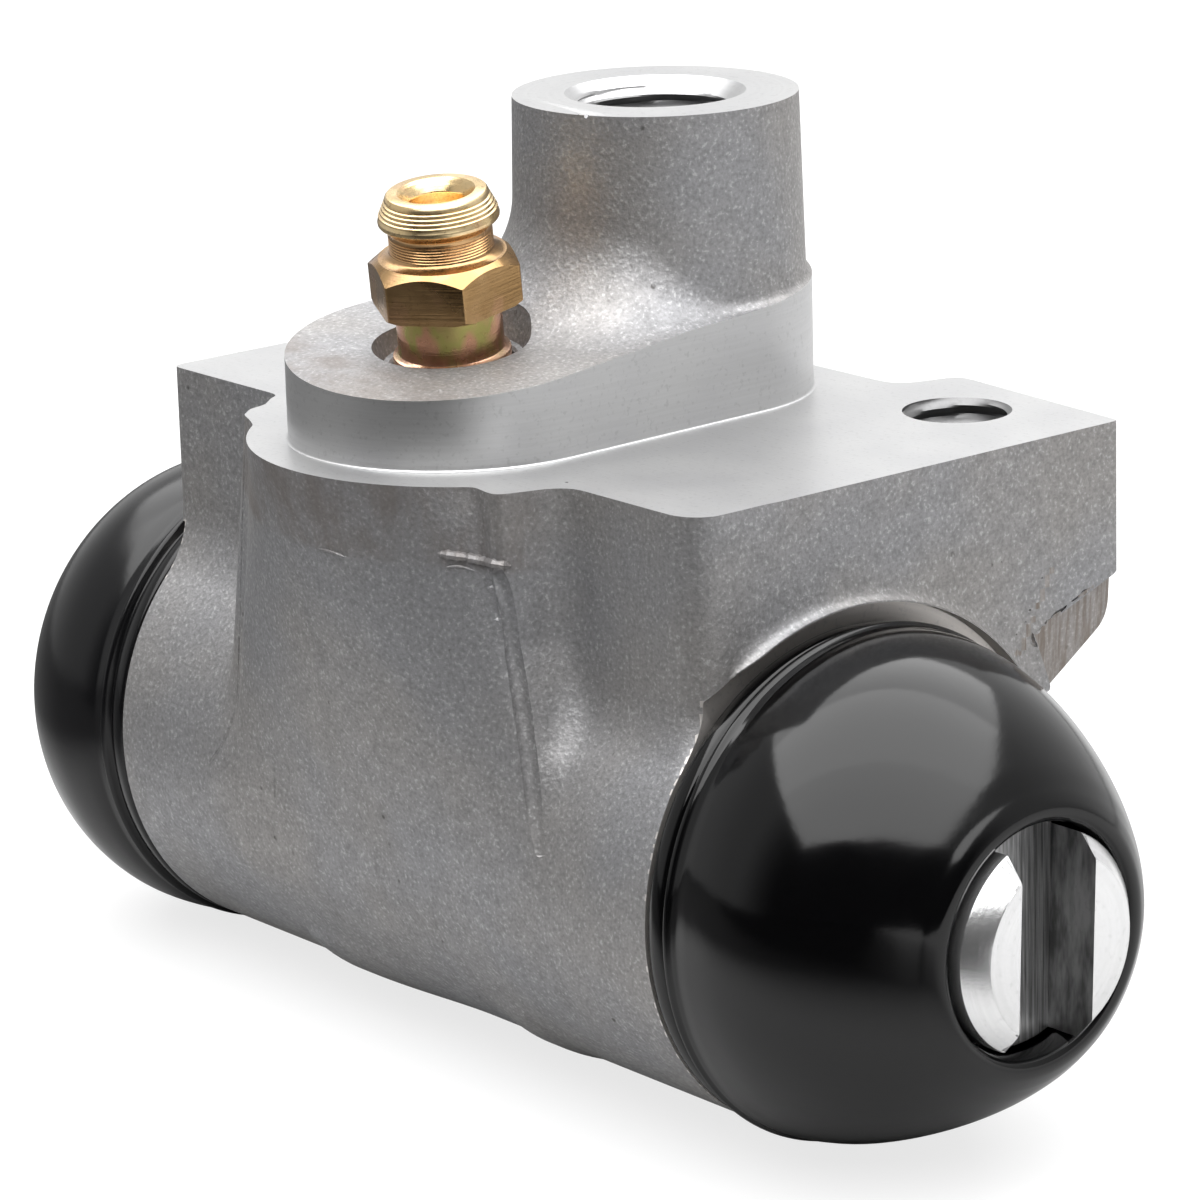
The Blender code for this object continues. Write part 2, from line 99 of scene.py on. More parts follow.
def boolean(obj, other, operation, keep=False):
    """Applies a boolean at once; the cutter is removed unless it is kept."""
    for solver in ("MANIFOLD", "EXACT"):
        mod = obj.modifiers.new("cut", "BOOLEAN")
        mod.operation = operation
        mod.solver = solver
        mod.object = other
        graph = bpy.context.evaluated_depsgraph_get()
        graph.update()
        mesh = bpy.data.meshes.new_from_object(obj.evaluated_get(graph))
        obj.modifiers.clear()
        if 0 < len(mesh.polygons) and (
            operation != "DIFFERENCE" or len(mesh.polygons) != len(obj.data.polygons)
        ):
            break
        print("boolean", solver, "left", obj.name, "as it was with", other.name)
    old = obj.data
    obj.data = mesh
    bpy.data.meshes.remove(old)
    if not keep:
        bpy.data.objects.remove(other)
    return obj


def rings_mesh(name, rows, closed=False):
    """rows: arrays (n, 3) in mm, each one ring; ends are closed with a fan
    unless the rows themselves close on each other."""
    rows = [np.asarray(r, float) for r in rows]
    n = len(rows[0])
    verts = np.concatenate(rows)
    faces = []
    m = len(rows)
    for j in range(m if closed else m - 1):
        a, b = j * n, ((j + 1) % m) * n
        for i in range(n):
            k = (i + 1) % n
            faces.append((a + i, a + k, b + k, b + i))
    if not closed:
        top, bottom = rows[0].mean(0), rows[-1].mean(0)
        verts = np.concatenate([verts, [top, bottom]])
        t, b = len(verts) - 2, len(verts) - 1
        last = (m - 1) * n
        for i in range(n):
            k = (i + 1) % n
            faces.append((t, k, i))
            faces.append((b, last + i, last + k))
    obj = mesh_object(name, verts, faces)
    bm = bmesh.new()
    bm.from_mesh(obj.data)
    bmesh.ops.recalc_face_normals(bm, faces=bm.faces)
    bm.to_mesh(obj.data)
    bm.free()
    return obj


def lathe_rows(profile, n, change=None):
    """Rings round local Z for a profile of (radius, height)."""
    t = 2 * math.pi * np.arange(n) / n
    rows = []
    for r, s in profile:
        radius = np.full(n, float(r))
        if change is not None:
            radius = change(radius, s, t)
        rows.append(np.c_[radius * np.cos(t), radius * np.sin(t), np.full(n, float(s))])
    return rows


def to_px(rows):
    """Local Z to +X, on the bore axis."""
    return [np.c_[r[:, 2], r[:, 1], -r[:, 0] - FACE_H] for r in rows]


def to_nx(rows):
    return [np.c_[-r[:, 2], r[:, 1], r[:, 0] - FACE_H] for r in rows]


def spline(points, per=6):
    """A smooth run through points (centripetal Catmull-Rom)."""
    p = np.asarray(points, float)
    p = np.vstack([2 * p[0] - p[1], p, 2 * p[-1] - p[-2]])
    out = []
    for i in range(1, len(p) - 2):
        p0, p1, p2, p3 = p[i - 1 : i + 3]
        t0 = 0.0
        t1 = t0 + np.linalg.norm(p1 - p0) ** 0.5
        t2 = t1 + np.linalg.norm(p2 - p1) ** 0.5
        t3 = t2 + np.linalg.norm(p3 - p2) ** 0.5
        for k in range(per):
            t = t1 + (t2 - t1) * k / per
            a1 = (t1 - t) / (t1 - t0) * p0 + (t - t0) / (t1 - t0) * p1
            a2 = (t2 - t) / (t2 - t1) * p1 + (t - t1) / (t2 - t1) * p2
            a3 = (t3 - t) / (t3 - t2) * p2 + (t - t2) / (t3 - t2) * p3
            b1 = (t2 - t) / (t2 - t0) * a1 + (t - t0) / (t2 - t0) * a2
            b2 = (t3 - t) / (t3 - t1) * a2 + (t - t1) / (t3 - t1) * a3
            out.append((t2 - t) / (t2 - t1) * b1 + (t - t1) / (t2 - t1) * b2)
    out.append(p[-2])
    return [tuple(q) for q in out]


def block(name, size, centre, rotation=None):
    mesh = bpy.data.meshes.new(name)
    bm = bmesh.new()
    bmesh.ops.create_cube(bm, size=1.0)
    bmesh.ops.scale(bm, vec=[s * MM for s in size], verts=bm.verts)
    if rotation is not None:
        bmesh.ops.transform(bm, matrix=rotation, verts=bm.verts)
    bmesh.ops.translate(bm, vec=[c * MM for c in centre], verts=bm.verts)
    bm.to_mesh(mesh)
    bm.free()
    return add_object(name, mesh)


def rounded(corners, per_corner=6):
    """Corner list of (x, y, fillet radius) to a closed run of points."""
    points = []
    n = len(corners)
    for i, (x, y, r) in enumerate(corners):
        p = np.array((x, y), float)
        a = np.array(corners[i - 1][:2], float) - p
        b = np.array(corners[(i + 1) % n][:2], float) - p
        la, lb = np.linalg.norm(a), np.linalg.norm(b)
        a, b = a / la, b / lb
        half = math.acos(max(-1.0, min(1.0, float(a @ b)))) / 2
        if r <= 0 or half > 1.553:
            points.append(p)
            continue
        reach = min(r / math.tan(half), 0.48 * la, 0.48 * lb)
        r = reach * math.tan(half)
        mid = (a + b) / np.linalg.norm(a + b) * (r / math.sin(half))
        centre = p + mid
        start, end = p + a * reach - centre, p + b * reach - centre
        a0, a1 = math.atan2(start[1], start[0]), math.atan2(end[1], end[0])
        turn = (a1 - a0 + math.pi) % (2 * math.pi) - math.pi
        for k in range(per_corner + 1):
            t = a0 + turn * k / per_corner
            points.append(centre + r * np.array((math.cos(t), math.sin(t))))
    return np.array(points)


def poly_sdf(x, y, outline):
    """Signed distance to a closed 2D outline, negative inside."""
    best = np.full(x.shape, 1e9)
    inside = np.zeros(x.shape, bool)
    for i in range(len(outline)):
        ax, ay = outline[i - 1]
        bx, by = outline[i]
        ex, ey = bx - ax, by - ay
        length = ex * ex + ey * ey
        if length < 1e-12:
            continue
        wx, wy = x - ax, y - ay
        t = np.clip((wx * ex + wy * ey) / length, 0, 1)
        best = np.minimum(best, (wx - ex * t) ** 2 + (wy - ey * t) ** 2)
        if ay != by:
            crosses = ((ay > y) != (by > y)) & (x < (bx - ax) * (y - ay) / (by - ay) + ax)
            inside ^= crosses
    d = np.sqrt(best)
    return np.where(inside, -d, d)


def join_round(a, b, r):
    """Union of two distance fields with a fillet of radius r."""
    return np.maximum(r, np.minimum(a, b)) - np.hypot(np.maximum(r - a, 0), np.maximum(r - b, 0))


def meet_round(a, b, r):
    """Intersection with a rounded edge of radius r."""
    return np.minimum(-r, np.maximum(a, b)) + np.hypot(np.maximum(r + a, 0), np.maximum(r + b, 0))


def smin(a, b, k):
    h = np.clip(0.5 + 0.5 * (b - a) / k, 0, 1)
    return b * (1 - h) + a * h - k * h * (1 - h)


def ramp(x, a, b):
    t = np.clip((x - a) / (b - a), 0, 1)
    return t * t * (3 - 2 * t)


def field_mesh(name, field, origin, step, adaptivity=0.0):
    """Meshes a distance field, then draws its vertices onto the surface."""
    grid = openvdb.FloatGrid(4.0 * step)
    grid.copyFromArray(np.ascontiguousarray(field, dtype=np.float32))
    points, tris, quads = grid.convertToPolygons(0.0, adaptivity)
    p = np.array(points, float)
    shape = np.array(field.shape)
    gx, gy, gz = np.gradient(field)

    def sample(a, q):
        i = np.clip(np.floor(q).astype(int), 0, shape - 2)
        f = q - i
        out = 0.0
        for dx in (0, 1):
            for dy in (0, 1):
                for dz in (0, 1):
                    w = (
                        (f[:, 0] if dx else 1 - f[:, 0])
                        * (f[:, 1] if dy else 1 - f[:, 1])
                        * (f[:, 2] if dz else 1 - f[:, 2])
                    )
                    out = out + w * a[i[:, 0] + dx, i[:, 1] + dy, i[:, 2] + dz]
        return out

    start = p.copy()
    for _ in range(2):
        v = sample(field, p)
        g = np.c_[sample(gx, p), sample(gy, p), sample(gz, p)]
        g2 = np.maximum((g * g).sum(1), (0.3 * step) ** 2)
        move = -(v / g2)[:, None] * g
        size = np.linalg.norm(move, axis=1, keepdims=True)
        p = p + move * np.minimum(1.0, 0.35 / np.maximum(size, 1e-9))
    p = start + np.clip(p - start, -0.5, 0.5)
    verts = np.array(origin) + p * step
    faces = [tuple(f) for f in np.array(tris).reshape(-1, 3)] + [tuple(f) for f in np.array(quads).reshape(-1, 4)]
    obj = mesh_object(name, verts, faces)
    bm = bmesh.new()
    bm.from_mesh(obj.data)
    if bm.calc_volume(signed=True) < 0:
        bmesh.ops.reverse_faces(bm, faces=bm.faces)
        bm.to_mesh(obj.data)
    bm.free()
    return obj


def thread_rows(z_top, z_bottom, r_minor, r_major, pitch, n, per=8, fade=0.6, mouth=None):
    """Rings of a helical thread as a height field over the cylinder."""
    t = 2 * math.pi * np.arange(n) / n
    count = int((z_top - z_bottom) / pitch * per)
    rows = []
    for j in range(count + 1):
        z = z_top + (z_bottom - z_top) * j / count
        phase = (z / pitch + t / (2 * math.pi)) % 1.0
        form = np.clip(1.1 - 2.4 * np.abs(phase - 0.5), 0, 1)
        edge = min(1.0, (z_top - z) / (fade * pitch) + 0.02, (z - z_bottom) / (fade * pitch) + 0.02)
        radius = r_minor + (r_major - r_minor) * form * edge
        if mouth is not None:
            radius = np.maximum(radius, mouth(z))
        rows.append(np.c_[radius * np.cos(t), radius * np.sin(t), np.full(n, z)])
    return rows


# ------------------------------------------------------------------ materials
class Nodes:
    """A short way to write node trees."""

    def __init__(self, name):
        self.material = bpy.data.materials.new(name)
        self.material.use_nodes = True
        self.tree = self.material.node_tree
        self.bsdf = self.tree.nodes["Principled BSDF"]
        self.where = self.new("ShaderNodeTexCoord").outputs["Object"]

    def new(self, kind, **values):
        node = self.tree.nodes.new(kind)
        for key, value in values.items():
            setattr(node, key, value)
        return node

    def put(self, socket, value):
        if isinstance(value, bpy.types.NodeSocket):
            self.tree.links.new(value, socket)
        else:
            socket.default_value = value

    def scaled(self, x, y, z, rotation=(0, 0, 0), place=(0, 0, 0)):
        node = self.new("ShaderNodeMapping")
        self.put(node.inputs["Vector"], self.where)
        node.inputs["Scale"].default_value = (x, y, z)
        node.inputs["Rotation"].default_value = rotation
        node.inputs["Location"].default_value = place
        return node.outputs["Vector"]

    def noise(self, scale, detail=2.0, rough=0.5, vector=None, distortion=0.0):
        node = self.new("ShaderNodeTexNoise")
        self.put(node.inputs["Vector"], self.where if vector is None else vector)
        node.inputs["Scale"].default_value = scale
        node.inputs["Detail"].default_value = detail
        node.inputs["Roughness"].default_value = rough
        node.inputs["Distortion"].default_value = distortion
        return node.outputs["Fac"]

    def cells(self, scale, out="Color", feature="F1", vector=None):
        node = self.new("ShaderNodeTexVoronoi", feature=feature)
        self.put(node.inputs["Vector"], self.where if vector is None else vector)
        node.inputs["Scale"].default_value = scale
        return node.outputs[out]

    def math(self, op, a, b=0.0, clamp=False):
        node = self.new("ShaderNodeMath", operation=op, use_clamp=clamp)
        self.put(node.inputs[0], a)
        self.put(node.inputs[1], b)
        return node.outputs[0]

    def span(self, value, a, b, c, d, smooth=True):
        node = self.new("ShaderNodeMapRange")
        node.interpolation_type = "SMOOTHSTEP" if smooth else "LINEAR"
        self.put(node.inputs["Value"], value)
        for key, v in (("From Min", a), ("From Max", b), ("To Min", c), ("To Max", d)):
            node.inputs[key].default_value = v
        return node.outputs["Result"]

    def mix(self, factor, a, b):
        node = self.new("ShaderNodeMix", data_type="RGBA")
        self.put(node.inputs["Factor"], factor)
        self.put(node.inputs["A"], a)
        self.put(node.inputs["B"], b)
        return node.outputs["Result"]

    def colour(self, *rgb):
        return (*rgb, 1.0)

    def bump(self, height, distance, strength=1.0, under=None):
        node = self.new("ShaderNodeBump")
        node.inputs["Strength"].default_value = strength
        node.inputs["Distance"].default_value = distance
        self.put(node.inputs["Height"], height)
        if under is not None:
            self.put(node.inputs["Normal"], under)
        return node.outputs["Normal"]

    def split(self, vector=None):
        node = self.new("ShaderNodeSeparateXYZ")
        self.put(node.inputs[0], self.where if vector is None else vector)
        return node.outputs

    def done(self, colour=None, roughness=None, metallic=None, normal=None, **more):
        b = self.bsdf.inputs
        if colour is not None:
            self.put(b["Base Color"], colour)
        if roughness is not None:
            self.put(b["Roughness"], roughness)
        if metallic is not None:
            self.put(b["Metallic"], metallic)
        if normal is not None:
            self.put(b["Normal"], normal)
        for key, value in more.items():
            self.put(b[key.replace("_", " ")], value)
        return self.material


def grey(v):
    return (v, v, v, 1.0)


def cast_material(name="cast_aluminium_finish", level=0.32, streaks=False):
    """Die-cast skin: a fine orange peel with painted glints on its high grains, soft mottling, stains that carry
    painted shade low on the body, and small pits painted dark as painted shade.
    """
    m = Nodes(name)
    broad = m.noise(70.0, 2.0, 0.5)
    mottle = m.noise(700.0, 3.0, 0.6)
    peel = m.noise(3600.0, 2.0, 0.55)
    x, y, z = m.split()
    c = m.mix(m.span(broad, 0.35, 0.65, 0.0, 1.0), (level * 0.97, level * 0.97, level * 1.0, 1), (level * 1.02, level * 0.985, level * 0.96, 1))
    c = m.mix(m.span(mottle, 0.30, 0.70, 0.24, 0.0), c, grey(level * 0.6))
    c = m.mix(m.span(peel, 0.30, 0.55, 0.42, 0.0), c, grey(level * 0.5))
    # painted glints: the peel's high grains are lightened in the colour as painted highlights
    c = m.mix(m.span(peel, 0.56, 0.72, 0.0, 0.50), c, grey(min(0.97, level * 1.75)))
    # stains: streaky, with small pits; they are heavier low on the body, and that darkening towards the bottom is
    # painted shade
    stain = m.noise(260.0, 5.0, 0.70, vector=m.scaled(1.0, 1.0, 0.4))
    low = m.span(z, -0.034, -0.014, 1.0, 0.35)
    c = m.mix(m.math("MULTIPLY", m.span(stain, 0.56, 0.74, 0.0, 0.38), low), c, (level * 0.42, level * 0.40, level * 0.38, 1))
    # a darker, browner skin on the front above the insert's parting line
    above = m.math("MULTIPLY", m.span(z, -0.0058, -0.0049, 0.0, 1.0), m.span(y, -0.0160, -0.0135, 1.0, 0.0))
    c = m.mix(m.math("MULTIPLY", above, m.span(stain, 0.36, 0.66, 0.12, 0.62)), c, (level * 0.60, level * 0.52, level * 0.47, 1))
    # small pits painted near black where the stains are: painted shade inside the pits
    pit = m.cells(620.0, "Distance")
    pit_painted_shade = m.math("MULTIPLY", m.span(pit, 0.07, 0.16, 1.0, 0.0), m.span(stain, 0.54, 0.62, 0.0, 1.0))
    c = m.mix(m.math("MULTIPLY", pit_painted_shade, 0.75), c, (0.06, 0.055, 0.05, 1))
    height = m.math("ADD", m.math("MULTIPLY", mottle, 0.00005), m.math("MULTIPLY", peel, 0.000045))
    if streaks:
        streak = m.noise(1.0, 3.0, 0.6, vector=m.scaled(400.0, 2400.0, 240.0, rotation=(0.35, 0, 0)))
        c = m.mix(m.span(streak, 0.34, 0.62, 0.80, 0.0), c, (level * 0.36, level * 0.29, level * 0.24, 1))
        c = m.mix(0.35, c, (level * 0.90, level * 0.76, level * 0.64, 1))
        height = m.math("ADD", height, m.math("MULTIPLY", streak, 0.00012))
    rough = m.span(mottle, 0.3, 0.7, 0.60, 0.52)
    n = m.bump(height, 1.0, 0.9)
    return m.done(c, rough, 0.85, n)


def milled_material(name, level, axis="flat", rough=0.30, lines=1.0, tint=(1, 1, 1)):
    """A machined face: fine tool lines over a soft variation."""
    m = Nodes(name)
    if axis == "flat":
        v = m.scaled(260.0, 5200.0, 400.0, rotation=(0, 0, 0.16))
    elif axis == "up":
        v = m.scaled(150.0, 150.0, 5200.0)
    elif axis == "turned_x":
        x, y, z = m.split(m.scaled(1, 1, 1, place=(0, 0, FACE_H * MM)))
        radius = m.math("SQRT", m.math("ADD", m.math("MULTIPLY", y, y), m.math("MULTIPLY", z, z)))
        comb = m.new("ShaderNodeCombineXYZ")
        m.put(comb.inputs[0], m.math("MULTIPLY", x, 5000.0))
        m.put(comb.inputs[1], m.math("MULTIPLY", radius, 5000.0))
        v = comb.outputs[0]
    elif axis == "rings":
        x, y, z = m.split(m.scaled(1, 1, 1, place=(0, -9.95 * MM, 0)))
        radius = m.math("SQRT", m.math("ADD", m.math("MULTIPLY", y, y), m.math("MULTIPLY", x, x)))
        comb = m.new("ShaderNodeCombineXYZ")
        m.put(comb.inputs[0], m.math("MULTIPLY", radius, 4200.0))
        m.put(comb.inputs[1], m.math("MULTIPLY", z, 3000.0))
        v = comb.outputs[0]
    elif axis == "slot":
        v = m.scaled(900.0, 5200.0, 130.0, rotation=(0.05, 0, 0))
    line = m.noise(1.0, 3.0, 0.65, vector=v)
    soft = m.noise(160.0, 3.0, 0.5)
    speck = m.noise(2600.0, 2.0, 0.6)
    c = m.mix(m.span(soft, 0.3, 0.7, 0, 1), (level * 0.96 * tint[0], level * 0.96 * tint[1], level * 0.97 * tint[2], 1),
              (level * tint[0], level * tint[1], level * tint[2], 1))
    c = m.mix(m.span(line, 0.30, 0.70, min(0.9, 0.32 * lines), 0.0), c, grey(level * (0.62 if lines < 2 else 0.22)))
    c = m.mix(m.span(speck, 0.56, 0.72, 0.0, 0.30), c, grey(level * 0.55))
    r = m.span(soft, 0.3, 0.7, rough * 0.98, rough * 1.04)
    n = m.bump(line, 0.00002, min(1.0, 0.55 * lines))
    n = m.bump(speck, 0.00002, 0.4, n)
    return m.done(c, r, 0.95, n)


def rubber_material(name, rough, level=0.008):
    m = Nodes(name)
    soft = m.noise(140.0, 3.0, 0.5)
    fine = m.noise(1500.0, 3.0, 0.6)
    dust = m.noise(420.0, 5.0, 0.75)
    c = m.mix(m.span(dust, 0.62, 0.78, 0.0, 0.5), (level, level, level * 1.15, 1), grey(level * 2.6))
    r = m.span(soft, 0.3, 0.7, rough * 0.8, rough * 1.25)
    n = m.bump(fine, 0.00001, 0.35)
    n = m.bump(soft, 0.00012, 0.25, n)
    return m.done(c, r, 0.0, n, IOR=1.42)


def zinc_material():
    m = Nodes("yellow_zinc_finish")
    x, y, z = m.split()
    soft = m.noise(260.0, 3.0, 0.55)
    patch = m.noise(520.0, 2.0, 0.5, vector=m.scaled(1.0, 1.0, 0.6))
    fine = m.noise(2800.0, 3.0, 0.6)
    comb = m.new("ShaderNodeCombineXYZ")
    m.put(comb.inputs[2], m.math("MULTIPLY", z, 5200.0))
    m.put(comb.inputs[0], m.math("MULTIPLY", x, 120.0))
    m.put(comb.inputs[1], m.math("MULTIPLY", y, 120.0))
    rings = m.noise(1.0, 2.0, 0.6, vector=comb.outputs[0])
    gold = m.mix(m.span(soft, 0.3, 0.7, 0, 1), (0.80, 0.58, 0.29, 1), (0.88, 0.70, 0.42, 1))
    brown = m.mix(m.span(soft, 0.3, 0.7, 0, 1), (0.38, 0.23, 0.10, 1), (0.50, 0.32, 0.155, 1))
    # brassy on the barb, browner on the neck and the hexagon
    c = m.mix(m.span(z, 0.0070, 0.0082, 0.0, 1.0), brown, gold)
    c = m.mix(m.span(z, 0.0054, 0.0060, 0.0, 1.0), c, m.mix(m.span(z, 0.0070, 0.0082, 0.0, 1.0), (0.60, 0.36, 0.17, 1), gold))
    # interference tints low on the shank
    low = m.span(z, 0.0011, 0.0022, 1.0, 0.0)
    pink = m.mix(m.span(patch, 0.40, 0.60, 0, 1), (0.62, 0.33, 0.22, 1), (0.42, 0.42, 0.13, 1))
    c = m.mix(m.math("MULTIPLY", low, 0.85), c, pink)
    ring = m.span(z, -0.0016, -0.0011, 1.0, 0.0)
    c = m.mix(m.math("MULTIPLY", ring, 0.8), c, (0.85, 0.55, 0.40, 1))
    c = m.mix(m.span(patch, 0.56, 0.70, 0.0, 0.30), c, (0.62, 0.34, 0.22, 1))
    c = m.mix(m.span(fine, 0.56, 0.75, 0.0, 0.5), c, (0.26, 0.16, 0.07, 1))
    r = m.span(soft, 0.3, 0.7, 0.20, 0.34)
    n = m.bump(rings, 0.000022, 0.7)
    n = m.bump(fine, 0.00002, 0.45, n)
    return m.done(c, r, 1.0, n)


def seal_finish(name, level, metallic, rough):
    m = Nodes(name)
    soft = m.noise(300.0, 3.0, 0.55)
    fine = m.noise(2600.0, 3.0, 0.6)
    c = m.mix(m.span(soft, 0.3, 0.7, 0, 1), grey(level * 0.85), grey(level * 1.1))
    r = m.span(fine, 0.3, 0.7, rough * 0.85, rough * 1.2)
    return m.done(c, r, metallic, m.bump(fine, 0.00002, 0.3))


CAST = cast_material()
SCAR = cast_material("gate_scar_finish", 0.34, True)
PLATE = milled_material("milled_face", 0.56, "flat", 0.36, 0.35)
WALL = milled_material("milled_wall", 0.55, "up", 0.42, 0.5)
TOWER_TOP = milled_material("tower_face", 0.54, "rings", 0.34, 0.5)
TURNED = milled_material("turned_seat", 0.75, "turned_x", 0.50, 0.5, (1.0, 0.95, 0.90))
# the tapped holes and the inlet's bore get a dark milled finish, which is painted shade for the inside of the holes
SHADED_HOLES = milled_material("tapped_holes_painted_shade", 0.20, "rings", 0.40, 0.5)
BRIGHT = milled_material("turned_bright", 0.80, "turned_x", 0.26, 0.8)
BRUSHED = milled_material("brushed_slot", 0.50, "slot", 0.28, 3.0)
BOOT = rubber_material("boot_rubber_finish", 0.11, 0.0012)
BOOT_SOFT = rubber_material("boot_rubber_rear_finish", 0.20, 0.003)
ZINC = zinc_material()
SEAL = seal_finish("seal_rubber_finish", 0.02, 0.0, 0.5)
STEEL = seal_finish("spring_steel_finish", 0.45, 1.0, 0.35)



def finishes(obj, materials, index=None):
    """Gives the object these materials, and each face its own of them."""
    obj.data.materials.clear()
    for m in materials:
        obj.data.materials.append(m)
    if index is None:
        index = np.zeros(len(obj.data.polygons), int)
    obj.data.polygons.foreach_set("material_index", index)


def faces_of(obj):
    """Centres (mm) and normals of an object's faces."""
    count = len(obj.data.polygons)
    centre, normal = np.zeros(count * 3), np.zeros(count * 3)
    obj.data.polygons.foreach_get("center", centre)
    obj.data.polygons.foreach_get("normal", normal)
    return centre.reshape(-1, 3) / MM, normal.reshape(-1, 3)


# ------------------------------------------------------------------ casting
BARREL_R = 17.2
BOSS_A = (0.1, -8.4, 11.5)
BOSS_B = (0.0, 9.45, 11.0)
INLET_Y = 9.95
BLEED_BASE = np.array((0.1, -8.7, 7.2))
BLEED_AXIS = np.array((0.0769, -0.1388, 1.0))
BLEED_AXIS = BLEED_AXIS / np.linalg.norm(BLEED_AXIS)


def oval(grow=0.0, n=40, straight=14):
    ax, ay, ar = BOSS_A
    bx, by, br = BOSS_B
    tilt = math.asin((ar - br) / (by - ay))
    out = []
    for k in range(n + 1):
        t = tilt + (math.pi - 2 * tilt) * k / n
        out.append((bx + (br + grow) * math.cos(t), by + (br + grow) * math.sin(t)))
    t = math.pi - tilt
    end = (ax + (ar + grow) * math.cos(t), ay + (ar + grow) * math.sin(t))
    begin = out[-1]
    for k in range(1, straight):
        out.append(tuple(b + (e - b) * k / straight for b, e in zip(begin, end)))
    for k in range(n + 1):
        t = math.pi - tilt + (math.pi + 2 * tilt) * k / n
        out.append((ax + (ar + grow) * math.cos(t), ay + (ar + grow) * math.sin(t)))
    begin, end = out[-1], out[0]
    for k in range(1, straight):
        out.append(tuple(b + (e - b) * k / straight for b, e in zip(begin, end)))
    return np.array(out)


def neck_plan(h):
    """Outline of the neck round the bleeder at height h over the bore axis."""
    down = min(1.0, (FACE_H - h) / FACE_H)
    under = max(0.0, -h) * 0.4
    front = -22.9 + 5.3 * down + under
    right = 12.85 + (FACE_H - h) * 0.24
    left = -11.3 - (FACE_H - h) * 0.165 - 0.055 * max(0.0, 6.5 - h) ** 2
    right, left = min(right, 19.6), max(left, -18.6)
    edge = -17.25 + under
    sag = max(0.12, edge - front)
    chord = (right - left) / 2
    r = (chord * chord + sag * sag) / (2 * sag)
    span = math.asin(min(1.0, chord / r))
    mid = (left + right) / 2
    t = np.linspace(-math.pi / 2 - span, -math.pi / 2 + span, 30)
    arc = np.c_[mid + r * np.cos(t), front + r + r * np.sin(t)]
    # right flank: past the panel's edge stands the outer block's corner
    step = 0.12 + 0.45 * float(ramp(FACE_H - h, 3.0, 12.0)) * (1 - float(ramp(-h, -3.0, 1.5)))
    wide = max(0.0, right - 15.3)
    corner_x = max(15.6, right + 0.25)
    corner_y = -17.55 + 0.75 * float(ramp(FACE_H - h, 5.0, 15.0)) + under
    flank = [
        (right + 0.12, edge + step, 0.1),
        (corner_x, corner_y, 0.75),
        (corner_x + 0.45, -16.4 + under, 0.5),
        (17.1 + wide * 0.95, -13.2, 0.3),
        (17.3 + wide, -8.0, 0.0),
    ]
    shift = left + 11.3
    rest = [
        (-17.5 + 0.7 * shift, -8.0, 0.0),
        (-16.9 + 0.7 * shift, -11.6, 0.6),
        (-15.6 + 0.8 * shift, -13.1, 0.5),
        (-15.3 + 0.85 * shift, -14.6, 0.5),
        (-14.2 + 0.95 * shift, -15.9 + under, 0.35),
        (-12.6 + shift, -16.55 + 0.2 * down + under, 0.35),
        (left - 0.15, edge + step * 0.8, 0.1),
    ]
    tail = rounded([(arc[-2][0], arc[-2][1], 0), (arc[-1][0], arc[-1][1], 0)] + flank + rest + [(arc[0][0], arc[0][1], 0), (arc[1][0], arc[1][1], 0)], 3)
    return np.concatenate([arc[1:-1], tail[1:-1]])


